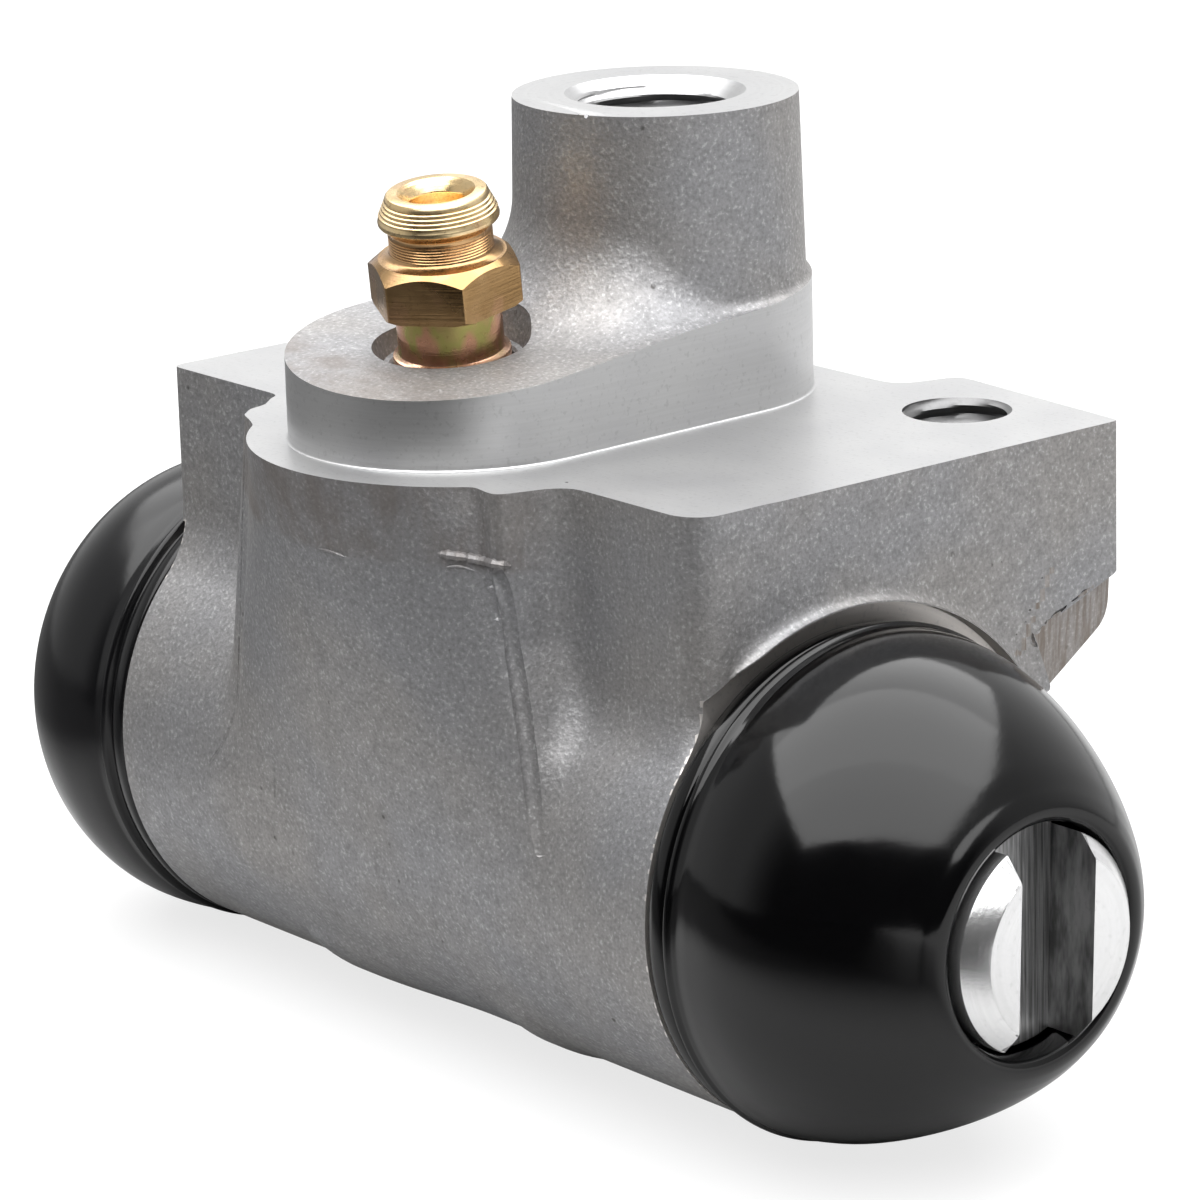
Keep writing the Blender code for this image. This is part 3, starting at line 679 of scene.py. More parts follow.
def lower_field(step):
    xs = np.arange(-33.0, 33.0 + step, step)
    ys = np.arange(-25.0, 29.0 + step, step)
    hs = np.arange(-20.0, 30.4 + step, step)
    x, y, h = xs[:, None, None], ys[None, :, None], hs[None, None, :]
    # barrel, with two low pads under it where the tool's inserts met
    angle = np.degrees(np.arctan2(-h, -y))
    pads = ramp(angle, 36, 42) * (1 - ramp(angle, 92, 100))
    pad = 0.42 * ramp(x, -13.4, -12.8) * (1 - ramp(x, -11, 2.5)) - 0.22 * ramp(x, 2.3, 2.7) * (1 - ramp(x, 7.3, 7.7))
    pad = pad + 0.3 * ramp(x, 8.2, 8.8) * (1 - ramp(x, 10.5, 13.5))
    barrel = np.hypot(y, h) - (BARREL_R + pad * pads)
    # flange: flat fronts that run into the barrel, sloping underside behind
    slope = math.radians(29.5)
    under = (10.45 + math.tan(slope) * (y - 21.2) - h) * math.cos(slope)
    # the outer toe of the underside is rounded off
    back_y = 24.9 + 0.082 * (30.1 - np.abs(x))
    toe = meet_round(under, y - back_y, 1.0)
    body = []
    for front in (-10.7, -12.75):
        slab = np.maximum(front - y, -h)
        slab = np.maximum(slab, h - 28.6)
        slab = np.where(y > 6.0, np.maximum(slab, toe), slab)
        both = np.minimum(slab, np.hypot(y, h) - BARREL_R)
        # the fillet's circle touches the flat front and the barrel
        r = 7.2
        fy = front - r
        fh = math.sqrt((BARREL_R + r) ** 2 - fy * fy)
        k = BARREL_R / (BARREL_R + r)
        web = poly_sdf(y[0] + 0 * h[0], h[0] + 0 * y[0], [(front, fh), (fy * k, fh * k), (-4.0, 4.0), (-4.0, fh)])
        web = np.maximum(web, r - np.hypot(y[0] - fy, h[0] - fh))[None]
        b = join_round(slab, np.hypot(y, h) - BARREL_R, 2.5)
        body.append(np.where(y > 0.0, b, np.minimum(both, web)))
    side = ramp(x, -2.0, 2.0)
    solid = body[0] * (1 - side) + body[1] * side
    solid = np.where(h < 2.0, np.minimum(solid, barrel), solid)
    del body
    # plan: the back edge with its middle relief
    back = rounded(
        [(34.0, 24.58, 0.0), (13.0, 26.3, 1.2), (11.6, 21.5, 2.2), (-11.6, 21.5, 2.2), (-13.0, 26.3, 1.2),
         (-34.5, 24.54, 0.0), (-34.5, -60.0, 0.0), (34.0, -60.0, 0.0)]
    )
    plan = poly_sdf(xs[:, None] + 0 * ys[None, :], ys[None, :] + 0 * xs[:, None], back)
    solid = np.maximum(solid, plan[:, :, None])
    # ends
    corner = 0.35 + 2.3 * ramp(h, 8.0, 14.0) * (1 - ramp(y, -7.0, -3.0))
    solid = meet_round(solid, (x - 30.1) + 0 * h, corner)
    corner = 0.35 + 0.5 * ramp(h, 8.0, 14.0) * (1 - ramp(y, -7.0, -3.0))
    solid = meet_round(solid, (-x - 30.3) + 0 * h, corner)
    # neck, level by level
    ix = np.where((xs > -24.5) & (xs < 25.0))[0]
    iy = np.where(ys < -5.0)[0]
    gx = xs[ix][:, None] + 0 * ys[iy][None, :]
    gy = ys[iy][None, :] + 0 * xs[ix][:, None]
    for k, level in enumerate(hs):
        if level < -7.0:
            continue
        neck = poly_sdf(gx, gy, neck_plan(min(float(level), FACE_H)))
        neck = np.maximum(neck, level - 28.6)
        part = solid[np.ix_(ix, iy, [k])][:, :, 0]
        soft = 0.35 + 1.5 * ramp(gx, 14.5, 16.5) * float(ramp(level, 5.0, 9.0)) + 0.7 * ramp(-gx, 15.0, 17.0)
        solid[np.ix_(ix, iy, [k])] = smin(part, neck, soft)[:, :, None]
    solid = np.maximum(solid, np.maximum(h - 28.6, -h - 18.6))
    return solid, (xs[0], ys[0], hs[0] - FACE_H)


def upper_field(step):
    xs = np.arange(-14.0, 14.0 + step, step)
    ys = np.arange(-22.4, 22.9 + step, step)
    zs = np.arange(-3.0, 23.4 + step, step)
    x, y, z = xs[:, None, None], ys[None, :, None], zs[None, None, :]
    top = BLEED_BASE - 0.55 * BLEED_AXIS
    near = (x - top[0]) * BLEED_AXIS[0] + (y - top[1]) * BLEED_AXIS[1] + (z - top[2]) * BLEED_AXIS[2]
    n = np.array((math.sin(0.04), -math.sin(0.055), 1.0))
    n = n / np.linalg.norm(n)
    far = x * n[0] + y * n[1] + (z - 7.12) * n[2]
    top_plane = -smin(-near, -far, 1.6)
    slope = (10.35 - 9.93) / 17.9
    tower = (np.hypot(x, y - INLET_Y) - (9.93 + slope * (20.9 - z))) * 0.999
    tower = np.maximum(tower, z - 22.2)
    # the wide fillet is on the bleeder's side; it is small where the tower nears the milled wall
    turn = np.degrees(np.arctan2(np.abs(x), INLET_Y - y))
    solid = join_round(top_plane, tower, 0.9 + 5.7 * (1 - ramp(turn, 34.0, 84.0)) + 0 * z)
    plan = poly_sdf(xs[:, None] + 0 * ys[None, :], ys[None, :] + 0 * xs[:, None], oval(1.1))
    solid = np.maximum(solid, plan[:, :, None])
    solid = np.maximum(solid, -1.8 - z)
    solid = np.maximum(solid, z - 22.2)
    return solid, (xs[0], ys[0], zs[0])


def prism_mesh(name, levels):
    """levels: (z, outline) with equal point counts, as one closed solid."""
    return rings_mesh(name, [np.c_[o, np.full(len(o), z)] for z, o in levels])


field, origin = lower_field(0.44)
body = field_mesh("cast_body", field, origin, 0.44)
del field
boolean(body, block("above_face", (90, 90, 20), (0, 0, 10.0)), "DIFFERENCE")
print("lower block", len(body.data.polygons))

field, origin = upper_field(0.33)
upper = field_mesh("upper", field, origin, 0.33)
del field
boolean(upper, prism_mesh("milled_oval", [(z, oval()) for z in np.arange(23.0, -3.0, -1.25)]), "INTERSECT")
boolean(upper, block("above_tower", (60, 60, 10), (0, 0, 25.9)), "DIFFERENCE")
foot = [(0.18, oval(-0.02)), (0.10, oval(0.02)), (0.05, oval(0.06)), (0.025, oval(0.11)), (0.010, oval(0.17)), (-1.0, oval(0.18))]
boolean(body, prism_mesh("foot", foot), "UNION")
boolean(body, upper, "UNION")
print("with boss", len(body.data.polygons))

# ends of the casting: a fillet rises to the sharp rim round each boot seat
def rim_ring(name, sign, face, first, last, edge_y=-99.0, edge_r=1.0):
    """Part of a ring, fading into the end face at both its ends. The face
    rounds off with radius edge_r in front of edge_y."""
    rows = []
    for a in np.linspace(first, last, 120):
        t = math.radians(a)
        fade = float(ramp(a, first, first + 12.0)) * (1.0 - float(ramp(a, last - 8.0, last)))
        wobble = 0.04 * math.sin(a * 0.31) + 0.03 * math.sin(a * 0.83 + 1.0)
        row = []
        for r, rise in ((18.4, -1.4), (18.4, 0.74), (18.80, 0.70), (18.86, 0.56), (18.96, 0.40), (19.12, 0.25), (19.34, 0.13),
                        (19.62, 0.045), (19.95, -0.02), (20.0, -0.3), (20.0, -1.4)):
            grown = 18.8 + (r - 18.8) * (1.0 + wobble)
            lift = rise * fade - 0.15 * (1.0 - fade) if rise > 0 else rise
            over = min(0.98 * edge_r, max(0.0, edge_y + grown * math.cos(t)))
            drop = edge_r - math.sqrt(edge_r * edge_r - over * over)
            row.append((sign * (face + lift - drop), -grown * math.cos(t), grown * math.sin(t) - FACE_H))
        rows.append(row)
    return rings_mesh(name, rows)


boolean(body, rim_ring("rim_front", 1, 30.1, 54.0, 158.0, -10.1, 2.65), "UNION")
boolean(body, rim_ring("rim_rear", -1, 30.3, 59.0, 158.0, -9.85, 0.85), "UNION")


def bead(name, points, radius, seed=0, per=5, uneven=0.22, sides=8):
    """A thin uneven wire along points: a burr when joined, a scratch when cut."""
    path = np.array(spline(points, per))
    rng = np.random.default_rng(seed)
    rows = []
    for i, p in enumerate(path):
        along = path[min(i + 1, len(path) - 1)] - path[max(i - 1, 0)]
        along = along / np.linalg.norm(along)
        side = np.cross(along, (0.3, -0.9, 0.2))
        side = side / np.linalg.norm(side)
        up = np.cross(side, along)
        end = min(1.0, (i + 0.4) / 2.5, (len(path) - i - 0.6) / 2.5)
        r = radius * end * (1.0 + uneven * rng.uniform(-1, 1))
        t = 2 * math.pi * np.arange(sides) / sides
        rows.append(p + r * (np.cos(t)[:, None] * side + np.sin(t)[:, None] * up))
    return rings_mesh(name, rows)


# gate scar on the lower back corner of the near end, broken off at a slant
along = np.array((0.0, 0.936, 0.352))
down = np.array((0.0, 0.352, -0.936))
outward = np.array((1.0, 0.0, 0.0)) + 0.12 * down + 0.10 * along
outward = outward / np.linalg.norm(outward)
downward = down - (down @ outward) * outward
downward = downward / np.linalg.norm(downward)
across = np.cross(outward, downward)
turn = Matrix([[downward[i], across[i], outward[i]] for i in range(3)]).to_4x4()
corner = np.array((30.0, 16.9, 13.3 - FACE_H))
place = corner + across * 6.0 + downward * 3.0 + outward * 1.5
scar = block("gate_scar", (6.0, 12.0, 3.0), place, turn)
boolean(body, scar, "DIFFERENCE")
SCAR_PLANE = (outward, float(outward @ corner))

# the torn edge over the scar, and the pits beside it
boolean(body, bead("scar_tear", [(30.05, 17.0, 13.1 - FACE_H), (30.0, 18.4, 13.95 - FACE_H), (29.9, 20.2, 14.75 - FACE_H),
                                 (29.85, 22.2, 15.45 - FACE_H), (29.75, 23.6, 15.7 - FACE_H), (29.7, 25.2, 15.95 - FACE_H)],
                   0.24, 7, 6, 0.35), "DIFFERENCE")
boolean(body, bead("scar_end", [(30.1, 16.7, 13.4 - FACE_H), (30.1, 16.75, 12.8 - FACE_H), (30.05, 17.2, 12.3 - FACE_H)], 0.22, 8, 4, 0.3), "DIFFERENCE")
for k, (y, h, r) in enumerate(((16.5, 15.05, 0.13), (17.64, 17.06, 0.11), (16.1, 14.3, 0.08), (15.2, 13.6, 0.08), (13.9, 18.9, 0.07))):
    pit = [(30.3, y, h - FACE_H), (29.95, y + 0.03, h - 0.02 - FACE_H)]
    boolean(body, bead("pit_%d" % k, pit, r, 20 + k, 4), "DIFFERENCE")

boolean(body, bead("burr", [(11.45, -19.1, -4.4), (12.4, -18.46, -4.5), (13.24, -17.88, -4.6), (14.12, -17.36, -4.74),
                            (15.2, -17.40, -4.7), (16.05, -16.65, -4.85)], 0.32, 1, 5, 0.25), "UNION")
boolean(body, bead("burr_low", [(11.9, -18.83, -5.3), (12.7, -18.27, -5.2), (13.55, -17.72, -5.45)], 0.11, 2), "UNION")
boolean(body, bead("burr_left", [(1.9, -21.82, -5.36), (3.3, -21.72, -5.34), (4.6, -21.5, -5.52)], 0.12, 3), "UNION")
boolean(body, bead("gutter", [(15.15, -17.7, -4.9), (16.0, -17.2, -7.2), (16.25, -16.85, -10.6), (16.9, -16.85, -13.85),
                              (17.6, -17.0, -17.1), (18.35, -17.3, -21.0), (19.1, -17.75, -24.5)], 0.72, 4, 10, 0.02, 28), "DIFFERENCE")
boolean(body, bead("left_groove", [(-14.1, -16.2, -2.0), (-14.42, -16.22, -6.07), (-14.9, -16.32, -11.19), (-15.17, -16.42, -14.85),
                                   (-15.68, -16.47, -19.32), (-16.15, -16.85, -22.29), (-17.05, -17.16, -24.26),
                                   (-18.74, -17.3, -26.17)], 0.17, 5, 8), "DIFFERENCE")
boolean(body, bead("scratch", [(-9.68, -17.93, -22.75), (-10.24, -17.62, -25.94), (-11.11, -16.92, -29.97)], 0.12, 6), "DIFFERENCE")
for k, (point, size) in enumerate((((7.3, -15.15, 5.2), 0.30), ((3.6, 0.85, 20.95), 0.32), ((2.9, 0.62, 20.95), 0.2),
                                   ((30.2, -1.0, 0.05), 0.22), ((30.2, 9.5, 0.03), 0.16), ((16.4, -12.1, 0.02), 0.18))):
    boolean(body, block("chip_%d" % k, (size, size * 1.6, size), point, Matrix.Rotation(0.6 + 0.5 * k, 4, (0.4, 0.3, 1.0))), "DIFFERENCE")


# machined ends
def axial(name, profile, n=128):
    return rings_mesh(name, to_px(lathe_rows(profile, n)))


def axial_rear(name, profile, n=128):
    return rings_mesh(name, to_nx(lathe_rows(profile, n)))


for maker, label in ((axial, "front"), (axial_rear, "rear")):
    boolean(body, maker("seat_" + label, [(18.7, 40.0), (18.7, 29.45), (18.6, 29.4)]), "DIFFERENCE")
    spigot = [(14.8, 33.6), (15.15, 33.5), (15.3, 33.2), (15.3, 32.0), (15.2, 31.9), (14.5, 31.9), (14.5, 30.1),
              (15.2, 30.1), (15.3, 30.0), (15.3, 29.7), (15.6, 29.2), (15.6, 26.0)]
    boolean(body, maker("spigot_" + label, spigot), "UNION")
bore = [(13.6, 40.0), (13.6, 34.0), (12.7, 33.0), (12.7, -33.0), (13.6, -34.0), (13.6, -40.0)]
boolean(body, axial("bore", bore), "DIFFERENCE")

# inlet: inverted flare port, threaded, with its passage
TOP = 20.9


def inlet_mouth(z):
    return 5.1 + (z - (TOP - 1.1)) * 1.2 / 1.1 if z > TOP - 1.1 else 0.0


rows = thread_rows(TOP + 0.3, 10.2, 5.1, 5.6, 1.058, 80, 8, mouth=inlet_mouth)
t80 = 2 * math.pi * np.arange(80) / 80
for r, z in ((5.1, 9.8), (5.1, 7.2), (4.6, 6.9), (3.0, 6.2), (2.6, 6.6), (1.6, 7.9), (1.5, 7.6), (1.5, -22.5)):
    rows.append(np.c_[r * np.cos(t80), r * np.sin(t80), np.full(80, z)])
rows = [r + np.array((0, INLET_Y, 0)) for r in rows]
boolean(body, rings_mesh("inlet", rows), "DIFFERENCE")

# bleeder hole, square to the leaning axis
lean = Vector((0, 0, 1)).rotation_difference(Vector(BLEED_AXIS)).to_matrix().to_4x4()
BLEED_MATRIX = Matrix.Translation(Vector(BLEED_BASE) * MM) @ lean
hole = [(6.6, 5.0), (5.72, -0.2), (5.5, -0.6), (4.98, -2.3), (4.9, -2.4), (4.5, -2.4), (4.3, -2.6), (4.3, -12.6), (1.2, -15.7), (1.2, -26.0)]
cutter = rings_mesh("bleeder_hole", lathe_rows(hole, 96))
cutter.data.transform(BLEED_MATRIX)
boolean(body, cutter, "DIFFERENCE")

# mounting holes, 5/16-18, blind
for side, label in ((1, "front"), (-1, "rear")):
    rows = thread_rows(0.25, -11.4, 3.35, 3.93, 1.411, 56, 8, fade=0.3,
                       mouth=lambda z: 3.55 + (z + 0.2) * 0.9 if z > -0.2 else 0.0)
    t56 = 2 * math.pi * np.arange(56) / 56
    for r, z in ((3.35, -11.7), (3.35, -13.4), (3.2, -13.55), (0.2, -15.4)):
        rows.append(np.c_[r * np.cos(t56), r * np.sin(t56), np.full(56, z)])
    rows = [r + np.array((side * 20.2, 19.3, 0)) for r in rows]
    boolean(body, rings_mesh("mount_hole_" + label, rows), "DIFFERENCE")
print("casting", len(body.data.polygons), "faces", sum(len(p.vertices) - 2 for p in body.data.polygons), "triangles")

# which finish each face has
centre, normal = faces_of(body)
cx, cy, cz = centre.T
radius = np.hypot(cy, cz + FACE_H)
finish = np.zeros(len(centre), int)
finish[(np.abs(cz) < 0.02) & (normal[:, 2] > 0.99)] = 1
edge = poly_sdf(cx, cy, oval())
finish[(np.abs(edge) < 0.06) & (np.abs(normal[:, 2]) < 0.15) & (cz > 0.0)] = 2
finish[(edge > -0.06) & (edge < 0.22) & (cz > 0.003) & (cz < 0.19) & (finish == 0)] = 1
finish[(cz > 20.85) & (normal[:, 2] > 0.9)] = 3
finish[(np.abs(cx) > 29.35) & (radius < 18.72)] = 4
finish[radius < 12.9] = 4
finish[(np.hypot(cx, cy - INLET_Y) < 6.4) & (cz > -22.6) & (np.abs(edge) > 0.1) & (finish == 0)] = 5
finish[(np.hypot(cx, cy - INLET_Y) < 6.4) & (cz > 19.7)] = 3
for side in (1, -1):
    finish[(np.hypot(cx - side * 20.2, cy - 19.3) < 4.1) & (cz < -0.02) & (cz > -15.5)] = 5
finish[(np.abs(centre @ SCAR_PLANE[0] - SCAR_PLANE[1]) < 0.03) & (cy > 15.0) & (cz < -9.0) & (finish == 0)] = 6
finishes(body, (CAST, PLATE, WALL, TOWER_TOP, TURNED, SHADED_HOLES, SCAR), finish)
smooth(body, 32)
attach(body, "housing")
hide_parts("cylinder_body")


# ------------------------------------------------------------------ boots
def boot_rows(sign, n=160):
    rim = [(15.7, 29.75), (16.6, 29.62), (17.05, 29.66), (17.22, 29.85), (17.25, 30.2), (17.24, 30.75),
           (17.12, 30.95), (16.95, 31.05), (16.92, 31.2), (17.0, 31.32), (17.3, 31.40), (17.5, 31.50),
           (17.58, 31.68), (17.52, 31.88), (17.38, 32.02)]
    dome = spline(
        [(17.38, 32.1), (17.3, 32.8), (17.2, 33.8), (16.75, 36.4), (15.85, 39.2), (14.55, 41.9), (12.95, 44.3),
         (11.2, 46.3), (10.2, 47.2), (9.5, 47.75), (8.9, 48.08), (8.3, 48.12), (7.92, 47.9), (7.75, 47.4)], 6)
    inner = spline(
        [(7.75, 46.7), (7.95, 46.3), (8.9, 46.0), (9.9, 45.2), (11.5, 43.3), (13.0, 41.1), (14.2, 38.7), (15.1, 36.1),
         (15.6, 34.2)], 4)
    inner += [(15.6, 31.75), (15.45, 31.6), (14.8, 31.4), (14.8, 30.5), (15.45, 30.35), (15.6, 30.15)]
    if sign < 0:
        dome = spline(
            [(17.38, 32.1), (17.5, 32.8), (17.6, 33.8), (17.5, 36.4), (16.75, 39.2), (15.45, 41.9), (13.75, 44.3),
             (11.8, 46.3), (10.6, 47.2), (9.7, 47.75), (8.95, 48.08), (8.3, 48.12), (7.92, 47.9), (7.75, 47.4)], 6)
    profile = rim + dome[1:] + inner
    rows = lathe_rows(profile, n)
    out = []
    for (r, s), row in zip(profile, rows):
        t = min(1.0, max(0.0, (s - 32.6) / (47.4 - 32.6)))
        bump = math.sin(math.pi * t)
        row = row.copy()
        theta = np.arctan2(row[:, 1], -row[:, 0])
        if sign > 0:
            shift = np.array((-1.1 * bump, 0.7 * bump))
        else:
            shift = np.array((-1.2 * bump ** 0.8, 0.2 * bump))
        out.append((row, shift))
    return out


def make_boot(name, sign, material):
    rows = []
    for row, shift in boot_rows(sign):
        if sign > 0:
            r = np.c_[row[:, 2], row[:, 1], -row[:, 0] - FACE_H]
        else:
            r = np.c_[-row[:, 2], row[:, 1], row[:, 0] - FACE_H]
        r[:, 1] += shift[0]
        r[:, 2] += shift[1]
        rows.append(r)
    boot = rings_mesh(name, rows, closed=True)
    boot.data.materials.append(material)
    smooth(boot, 50)
    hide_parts("boot_front" if sign > 0 else "boot_rear")
    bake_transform(boot)
    return boot


make_boot("dust_boot_front", 1, BOOT)
make_boot("dust_boot_rear", -1, BOOT_SOFT)

# ------------------------------------------------------------------ pistons
for sign, label in ((1, "front"), (-1, "rear")):
    profile = [(5.95, 49.9), (6.12, 49.88), (6.25, 49.78), (7.32, 48.66), (7.43, 48.48), (7.45, 48.3), (7.45, 33.2),
               (7.55, 32.7), (7.9, 32.4), (11.9, 32.4), (12.25, 32.28), (12.4, 31.9), (12.4, 24.4), (12.25, 24.2),
               (12.1, 24.1), (12.1, 23.6), (12.25, 23.5), (12.4, 23.3), (12.4, 18.9), (12.3, 18.55), (11.9, 18.4)]
    place = to_px if sign > 0 else to_nx
    piston = rings_mesh("piston_body_" + label, place(lathe_rows(profile, 128)))
    slot_turn = Matrix.Rotation(math.radians(-2.0), 4, "X")
    slot = block("slot_" + label, (12.0, 6.46, 40.0), (sign * (45.9 + 6.0), -0.3, -FACE_H), slot_turn)
    boolean(piston, slot, "DIFFERENCE")
    centre, normal = faces_of(piston)
    finish = ((np.abs(centre[:, 0]) > 45.85) & (np.abs(centre[:, 1] + 0.3) < 3.6) & (np.abs(normal[:, 0]) < 0.99)
              & (np.hypot(centre[:, 1], centre[:, 2] + FACE_H) < 7.3)).astype(int)
    finish |= ((np.abs(centre[:, 0]) < 45.95) & (np.abs(centre[:, 0]) > 45.85)).astype(int)
    finishes(piston, (BRIGHT, BRUSHED), finish)
    smooth(piston, 25)
    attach(piston, label + "_piston")
    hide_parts("piston_" + label)

# ------------------------------------------------------------------ bleeder
barb = [(2.62, 9.9), (3.25, 9.9), (3.38, 9.86), (3.47, 9.76)]
for k in range(5):
    s = 9.62 - 0.27 * k
    r = 3.53 + (9.62 - s) * 0.46
    barb += [(r, s), (r + 0.03, s - 0.09), (r - 0.035, s - 0.145), (r - 0.02, s - 0.19)]
barb += [(4.09, 8.22), (4.13, 8.08), (4.11, 7.92), (4.02, 7.80), (3.86, 7.68), (3.66, 7.50), (3.57, 7.36), (3.54, 7.2)]
neck = []
for k in range(6):
    s = 7.06 - 0.2 * k
    neck += [(3.54, s), (3.49, s - 0.07), (3.49, s - 0.1), (3.54, s - 0.15)]
collar = [(3.56, 5.82), (3.66, 5.68), (3.86, 5.57), (4.05, 5.50), (4.35, 5.40), (4.36, 5.2), (3.60, 5.0)]
shank = [(3.60, 2.3), (3.62, 2.1), (3.62, -1.15), (3.66, -1.35), (3.85, -1.5), (4.0, -1.55), (4.05, -1.7), (4.02, -2.2)]
profile = barb + neck + collar + shank
rows = lathe_rows(profile, 96)
rows += thread_rows(-2.4, -11.6, 3.55, 4.02, 1.25, 96, 8, fade=1.0)
t96 = 2 * math.pi * np.arange(96) / 96
for r, s in ((3.55, -11.9), (3.3, -12.5), (2.6, -13.3), (0.9, -14.8), (0.5, -14.9)):
    rows.append(np.c_[r * np.cos(t96), r * np.sin(t96), np.full(96, s)])
bleeder = rings_mesh("bleeder", rows)
# hexagon with both its corners chamfered
hexagon = bpy.data.meshes.new("hexagon")
bm = bmesh.new()
bmesh.ops.create_cone(bm, cap_ends=True, segments=6, radius1=5.4 * MM, radius2=5.4 * MM, depth=3.5 * MM,
                      matrix=Matrix.Translation((0, 0, 3.7 * MM)) @ Matrix.Rotation(math.radians(5.0), 4, "Z"))
bmesh.ops.bevel(bm, geom=[e for e in bm.edges if abs(e.verts[0].co.z - e.verts[1].co.z) > 0.003],
                offset=0.00012, segments=2, affect="EDGES", profile=0.5)
bm.to_mesh(hexagon)
bm.free()
hexagon = add_object("hexagon", hexagon)
chamfer = [(4.2, 5.46), (4.36, 5.44), (5.62, 4.40), (5.62, 2.30), (5.0, 1.92), (4.9, 1.9)]
boolean(hexagon, rings_mesh("hexagon_chamfer", lathe_rows(chamfer, 128)), "INTERSECT")
boolean(bleeder, hexagon, "UNION")
mouth = [(2.72, 11.0), (2.70, 9.95), (2.0, 9.15), (1.95, 9.0), (1.95, -10.4), (0.4, -11.3)]
boolean(bleeder, rings_mesh("bleeder_bore", lathe_rows(mouth, 64)), "DIFFERENCE")
cross = rings_mesh("cross_hole", lathe_rows([(0.8, 8.0), (0.8, -8.0)], 32))
cross.data.transform(Matrix.Translation((0, 0, -9.5 * MM)) @ Matrix.Rotation(math.pi / 2, 4, "X"))
boolean(bleeder, cross, "DIFFERENCE")
finishes(bleeder, (ZINC,))
smooth(bleeder, 28)
bleeder.matrix_world = BLEED_MATRIX
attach(bleeder, "bleeder")
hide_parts("bleeder_screw")

# ------------------------------------------------------------------ inner pieces keep their CAD shape
for name, m in (
    ("cup_seal_front", SEAL), ("cup_seal_rear", SEAL), ("cup_expander_front", STEEL),
    ("cup_expander_rear", STEEL), ("return_spring", STEEL),
):
    o = NODES[name]
    if not o.data.materials:
        o.data.materials.append(m)
    for k in range(len(o.material_slots)):
        o.material_slots[k].material = m

# ------------------------------------------------------------------ floor, light
floor_mesh = bpy.data.meshes.new("floor")
bm = bmesh.new()
bmesh.ops.create_grid(bm, x_segments=2, y_segments=2, size=4.0)
bm.to_mesh(floor_mesh)
bm.free()
floor = add_object("floor", floor_mesh)
floor.location = (0, 0, -0.04435)
fm = Nodes("pale_floor")
fm.where = fm.new("ShaderNodeNewGeometry").outputs["Position"]
TO_CAMERA = (0.776, -0.631, 0.0)
NEAR_FLOOR, FAR_FLOOR, BACK_FLOOR = 0.45, 0.08, 0.44
dot = fm.new("ShaderNodeVectorMath", operation="DOT_PRODUCT")
fm.put(dot.inputs[0], fm.where)
dot.inputs[1].default_value = (0.62, 0.785, 0.0)
path = fm.new("ShaderNodeLightPath")
# painted reflection: to reflections the floor is painted as a pool of light close round the part and behind it, with
# painted shade towards the camera and dark beyond
px_, py_, pz_ = fm.split()
reach = fm.math("SQRT", fm.math("ADD", fm.math("MULTIPLY", px_, px_), fm.math("MULTIPLY", fm.math("MULTIPLY", py_, py_), 1.7)))
front = fm.new("ShaderNodeVectorMath", operation="DOT_PRODUCT")
fm.put(front.inputs[0], fm.where)
front.inputs[1].default_value = TO_CAMERA
painted_floor_shade = fm.span(front.outputs["Value"], 0.05, 0.12, 1.0, 0.08)
close = fm.math("MULTIPLY", fm.span(reach, 0.055, 0.105, NEAR_FLOOR, FAR_FLOOR), painted_floor_shade)
behind = fm.span(dot.outputs["Value"], 0.0, 0.09, 0.0, BACK_FLOOR)
painted_floor_light = fm.math("MAXIMUM", close, behind)
grain = fm.noise(60.0, 3.0, 0.5)
pale = fm.mix(grain, grey(0.55), grey(0.57))
diffuse = fm.new("ShaderNodeBsdfDiffuse")
shown = fm.new("ShaderNodeCombineColor")
for k in range(3):
    fm.put(shown.inputs[k], painted_floor_light)
fm.put(diffuse.inputs["Color"], fm.mix(path.outputs["Is Glossy Ray"], pale, shown.outputs[0]))
glow = fm.new("ShaderNodeEmission")
glow.inputs["Color"].default_value = grey(1.0)
glow.inputs["Strength"].default_value = 1.25
blend = fm.new("ShaderNodeMixShader")
fm.put(blend.inputs[0], fm.math("MULTIPLY", path.outputs["Is Camera Ray"], 0.62))
fm.put(blend.inputs[1], diffuse.outputs[0])
fm.put(blend.inputs[2], glow.outputs[0])
out = [n for n in fm.tree.nodes if n.type == "OUTPUT_MATERIAL"][0]
fm.tree.links.new(blend.outputs[0], out.inputs["Surface"])
floor_mesh.materials.append(fm.material)

ROOM, BACKDROP = 0.60, 0.95
world = bpy.data.worlds.new("studio")
bpy.context.scene.world = world
world.use_nodes = True
tree = world.node_tree
background = tree.nodes["Background"]
coord = tree.nodes.new("ShaderNodeTexCoord")
dot = tree.nodes.new("ShaderNodeVectorMath")
dot.operation = "DOT_PRODUCT"
tree.links.new(coord.outputs["Generated"], dot.inputs[0])
dot.inputs[1].default_value = (-0.43, 0.88, 0.20)
level = tree.nodes.new("ShaderNodeMapRange")
level.interpolation_type = "SMOOTHSTEP"
tree.links.new(dot.outputs["Value"], level.inputs["Value"])
for key, v in (("From Min", 0.35), ("From Max", 0.98), ("To Min", ROOM), ("To Max", BACKDROP)):
    level.inputs[key].default_value = v
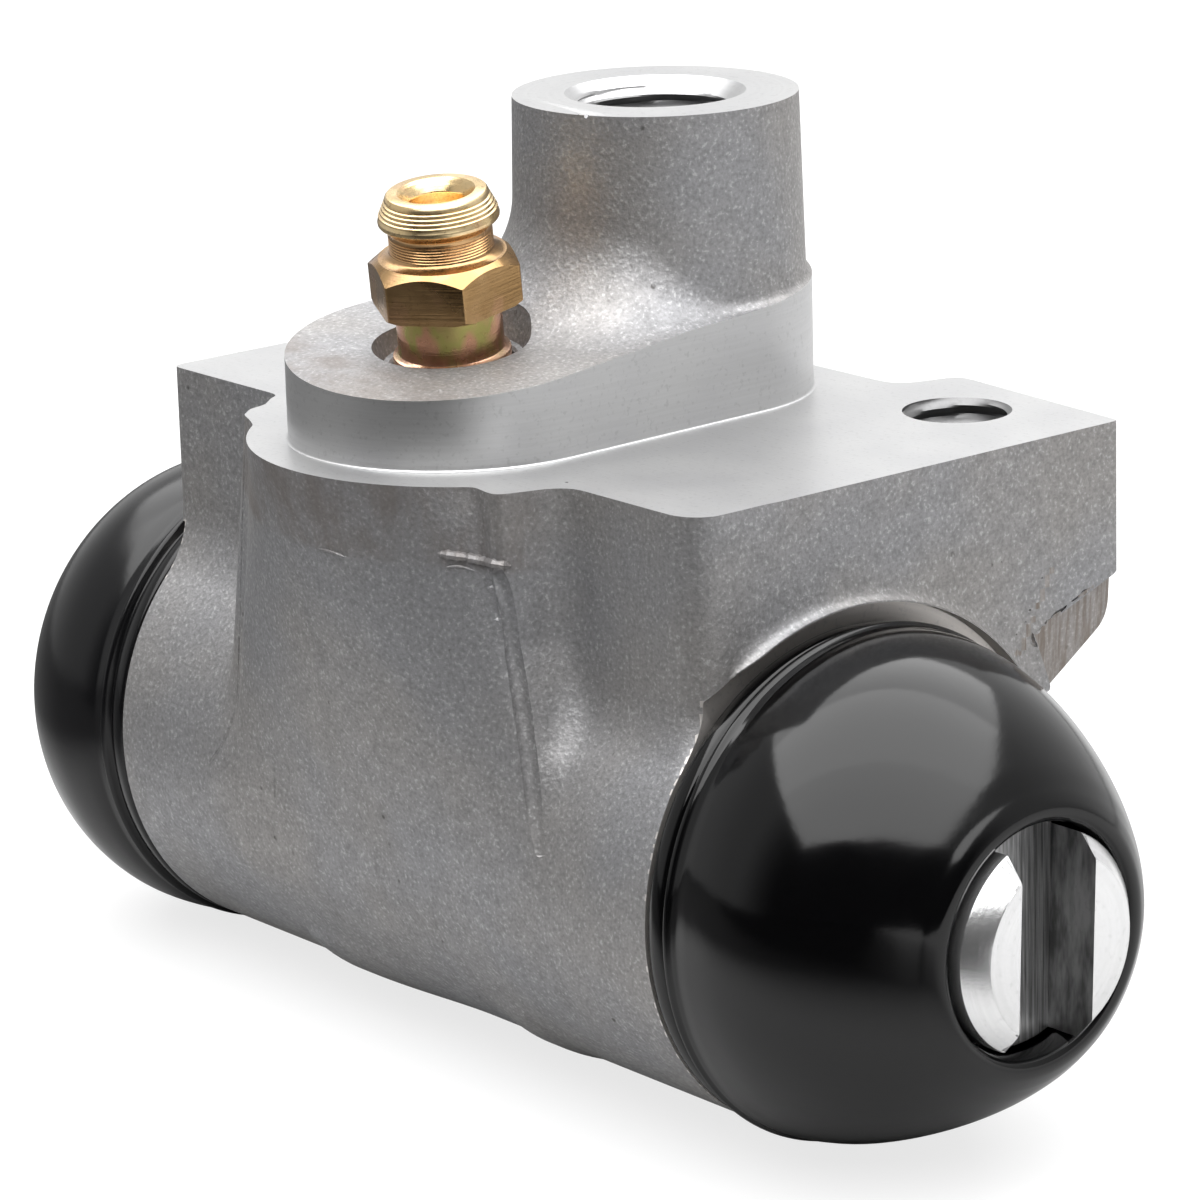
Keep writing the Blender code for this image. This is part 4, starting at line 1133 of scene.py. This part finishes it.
# the camera's side of the room is dark
front = tree.nodes.new("ShaderNodeVectorMath")
front.operation = "DOT_PRODUCT"
tree.links.new(coord.outputs["Generated"], front.inputs[0])
front.inputs[1].default_value = TO_CAMERA
shade = tree.nodes.new("ShaderNodeMapRange")
shade.interpolation_type = "SMOOTHSTEP"
tree.links.new(front.outputs["Value"], shade.inputs["Value"])
for key, v in (("From Min", 0.25), ("From Max", 0.75), ("To Min", 1.0), ("To Max", 0.03)):
    shade.inputs[key].default_value = v
lit_level = tree.nodes.new("ShaderNodeMath")
lit_level.operation = "MULTIPLY"
tree.links.new(level.outputs["Result"], lit_level.inputs[0])
tree.links.new(shade.outputs["Result"], lit_level.inputs[1])
seen = tree.nodes.new("ShaderNodeLightPath")
pick = tree.nodes.new("ShaderNodeMix")
pick.data_type = "FLOAT"
tree.links.new(seen.outputs["Is Camera Ray"], pick.inputs["Factor"])
tree.links.new(lit_level.outputs[0], pick.inputs["A"])
pick.inputs["B"].default_value = 1.05
tree.links.new(pick.outputs["Result"], background.inputs["Strength"])
background.inputs["Color"].default_value = (1.0, 1.0, 1.0, 1.0)


def area(name, centre, target, size, radiance, colour=(1, 1, 1)):
    data = bpy.data.lights.new(name, "AREA")
    data.shape = "RECTANGLE"
    data.size, data.size_y = size
    data.energy = radiance * size[0] * size[1] * math.pi
    data.color = colour
    obj = bpy.data.objects.new(name, data)
    bpy.context.scene.collection.objects.link(obj)
    obj.location = centre
    direction = Vector(target) - Vector(centre)
    obj.rotation_euler = direction.to_track_quat("-Z", "Y").to_euler()
    return obj


# the big overhead soft box, its middle the brightest
H = 0.80
for name, start, end, radiance in (("softbox_front", 0.45, 1.575, 3.8), ("softbox_middle", -0.4, 0.45, 4.3), ("softbox_back", -1.3, -0.4, 2.8)):
    key = area(name, (0, 0, 0), (0, 0, -1), (1.9 * H, (end - start) * H), radiance)
    mid = (start + end) / 2 * H
    key.matrix_world = Matrix(
        [
            [CAM_RIGHT[0] / 0.99963, TO_CAMERA[0], 0, mid * TO_CAMERA[0] + 0.06 * H * CAM_RIGHT[0]],
            [CAM_RIGHT[1] / 0.99963, TO_CAMERA[1], 0, mid * TO_CAMERA[1] + 0.06 * H * CAM_RIGHT[1]],
            [0, 0, 1, H],
            [0, 0, 0, 1],
        ]
    )
